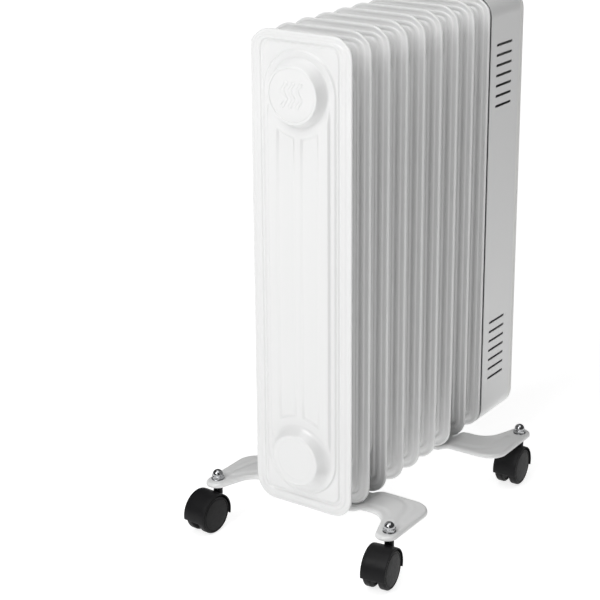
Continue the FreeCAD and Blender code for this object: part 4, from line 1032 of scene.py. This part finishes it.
gland = Net(from_xy((FX, 0, Z0 + 86), (1, 0, 0), (0, 1, 0), (0, 0, 1)))
gland.lathe(soft_profile([(-8, 3.7, 0), (-8, 6.4, 0.3), (0, 6.4, 0), (0, 9.0, 0.15), (2.3, 9.0, 0.7), (2.6, 8.0, 0.3), (3.6, 7.6, 0.4), (4.0, 8.0, 0.3), (5.2, 7.6, 0.3),
                          (5.6, 7.0, 0.3), (6.4, 6.8, 0.3), (6.8, 7.1, 0.3), (8.9, 6.2, 0.5), (9.0, 3.7, 0)], 4), 64, "x", closed=True)
build("cord_gland_moulding", gland, ["cord_gland"], angle=35)

# fascia screws: a domed head with a cross recess
screws = Net()
cross = []
for k in range(4):
    a = math.pi / 2 * k
    for u, v in ((2.1, -0.45), (2.1, 0.45), (0.45, 0.45)):
        cross.append((u * math.cos(a) - v * math.sin(a), u * math.sin(a) + v * math.cos(a)))
cross = np.array(cross)
for y, z in ((-40, 30), (40, 30), (-40, 330), (40, 330)):
    z = Z0 + z
    m = 40
    rows = []
    for dx, r in ((-10.0, 2.0), (0.0, 2.0), (0.0, 3.9), (0.35, 4.0), (0.9, 3.85), (1.5, 3.3), (1.9, 2.6)):
        p = arc_points((y, z), r, 0, 2 * math.pi, m)[:-1]
        rows.append((screws.add(np.column_stack([np.full(m, FX + dx), p])), p))
    for a, b in zip(rows, rows[1:]):
        screws.band(a[0], b[0])
    screws.fill([rows[0][0]], [rows[0][1]], flip=True)
    rim = cross + (y, z)
    r_top = screws.add(np.column_stack([np.full(12, FX + 2.0), rim]))
    r_low = screws.add(np.column_stack([np.full(12, FX + 0.8), (cross * 0.72) + (y, z)]))
    screws.fill([rows[-1][0], r_top], [rows[-1][1], rim])
    screws.band(r_top, r_low)
    screws.fill([r_low], [cross * 0.72 + (y, z)])
build("fascia_screw_set", screws, ["fascia_screws"], angle=30)

# wing nuts under the feet
wings = Net()
wz = mm_box("wing_nuts")
for fx in (PITCH * 1.5, PITCH * 6.5):
    for sy in (1, -1):
        x, y, zt = X0 + fx, 33.5 * sy, wz[1][2]
        wings.lathe([(zt + t, r) for t, r in soft_profile([(0, 2.55, 0), (0, 4.9, 0.3), (-3.5, 4.7, 0.5), (-6.0, 3.9, 0.5), (-6.0, 2.55, 0)], 3)], 48, "z", (x, y, 0), closed=True)
        for s in (1, -1):
            prof = [(3.4, -5.6, 0.8), (5.4, -1.7, 0.8), (9.4, -1.8, 1.4), (10.9, -5.2, 2.2), (10.2, -8.6, 1.8), (7.4, -8.9, 1.6)]
            if s > 0:
                prof = prof[::-1]
            wings.slab([(a * s, b, r) for a, b, r in prof][::1] if s < 0 else [(a, b, r) for a, b, r in prof], -1.0, 1.0, 0.4, 0.4, 5, 3,
                       twist=lambda p, x=x, y=y, zt=zt: np.column_stack([x + p[:, 0], y - p[:, 2], zt + p[:, 1]]))
build("wing_nut_set", wings, ["wing_nuts"], angle=35)

# ------------------------------------------------------------------ CAD nodes that stay, with their finishes

for name, obj in frame["nodes"].items():
    obj.data.materials.clear()
    obj.data.materials.append(SLOT_MATERIAL[NODE_SLOT[name]])
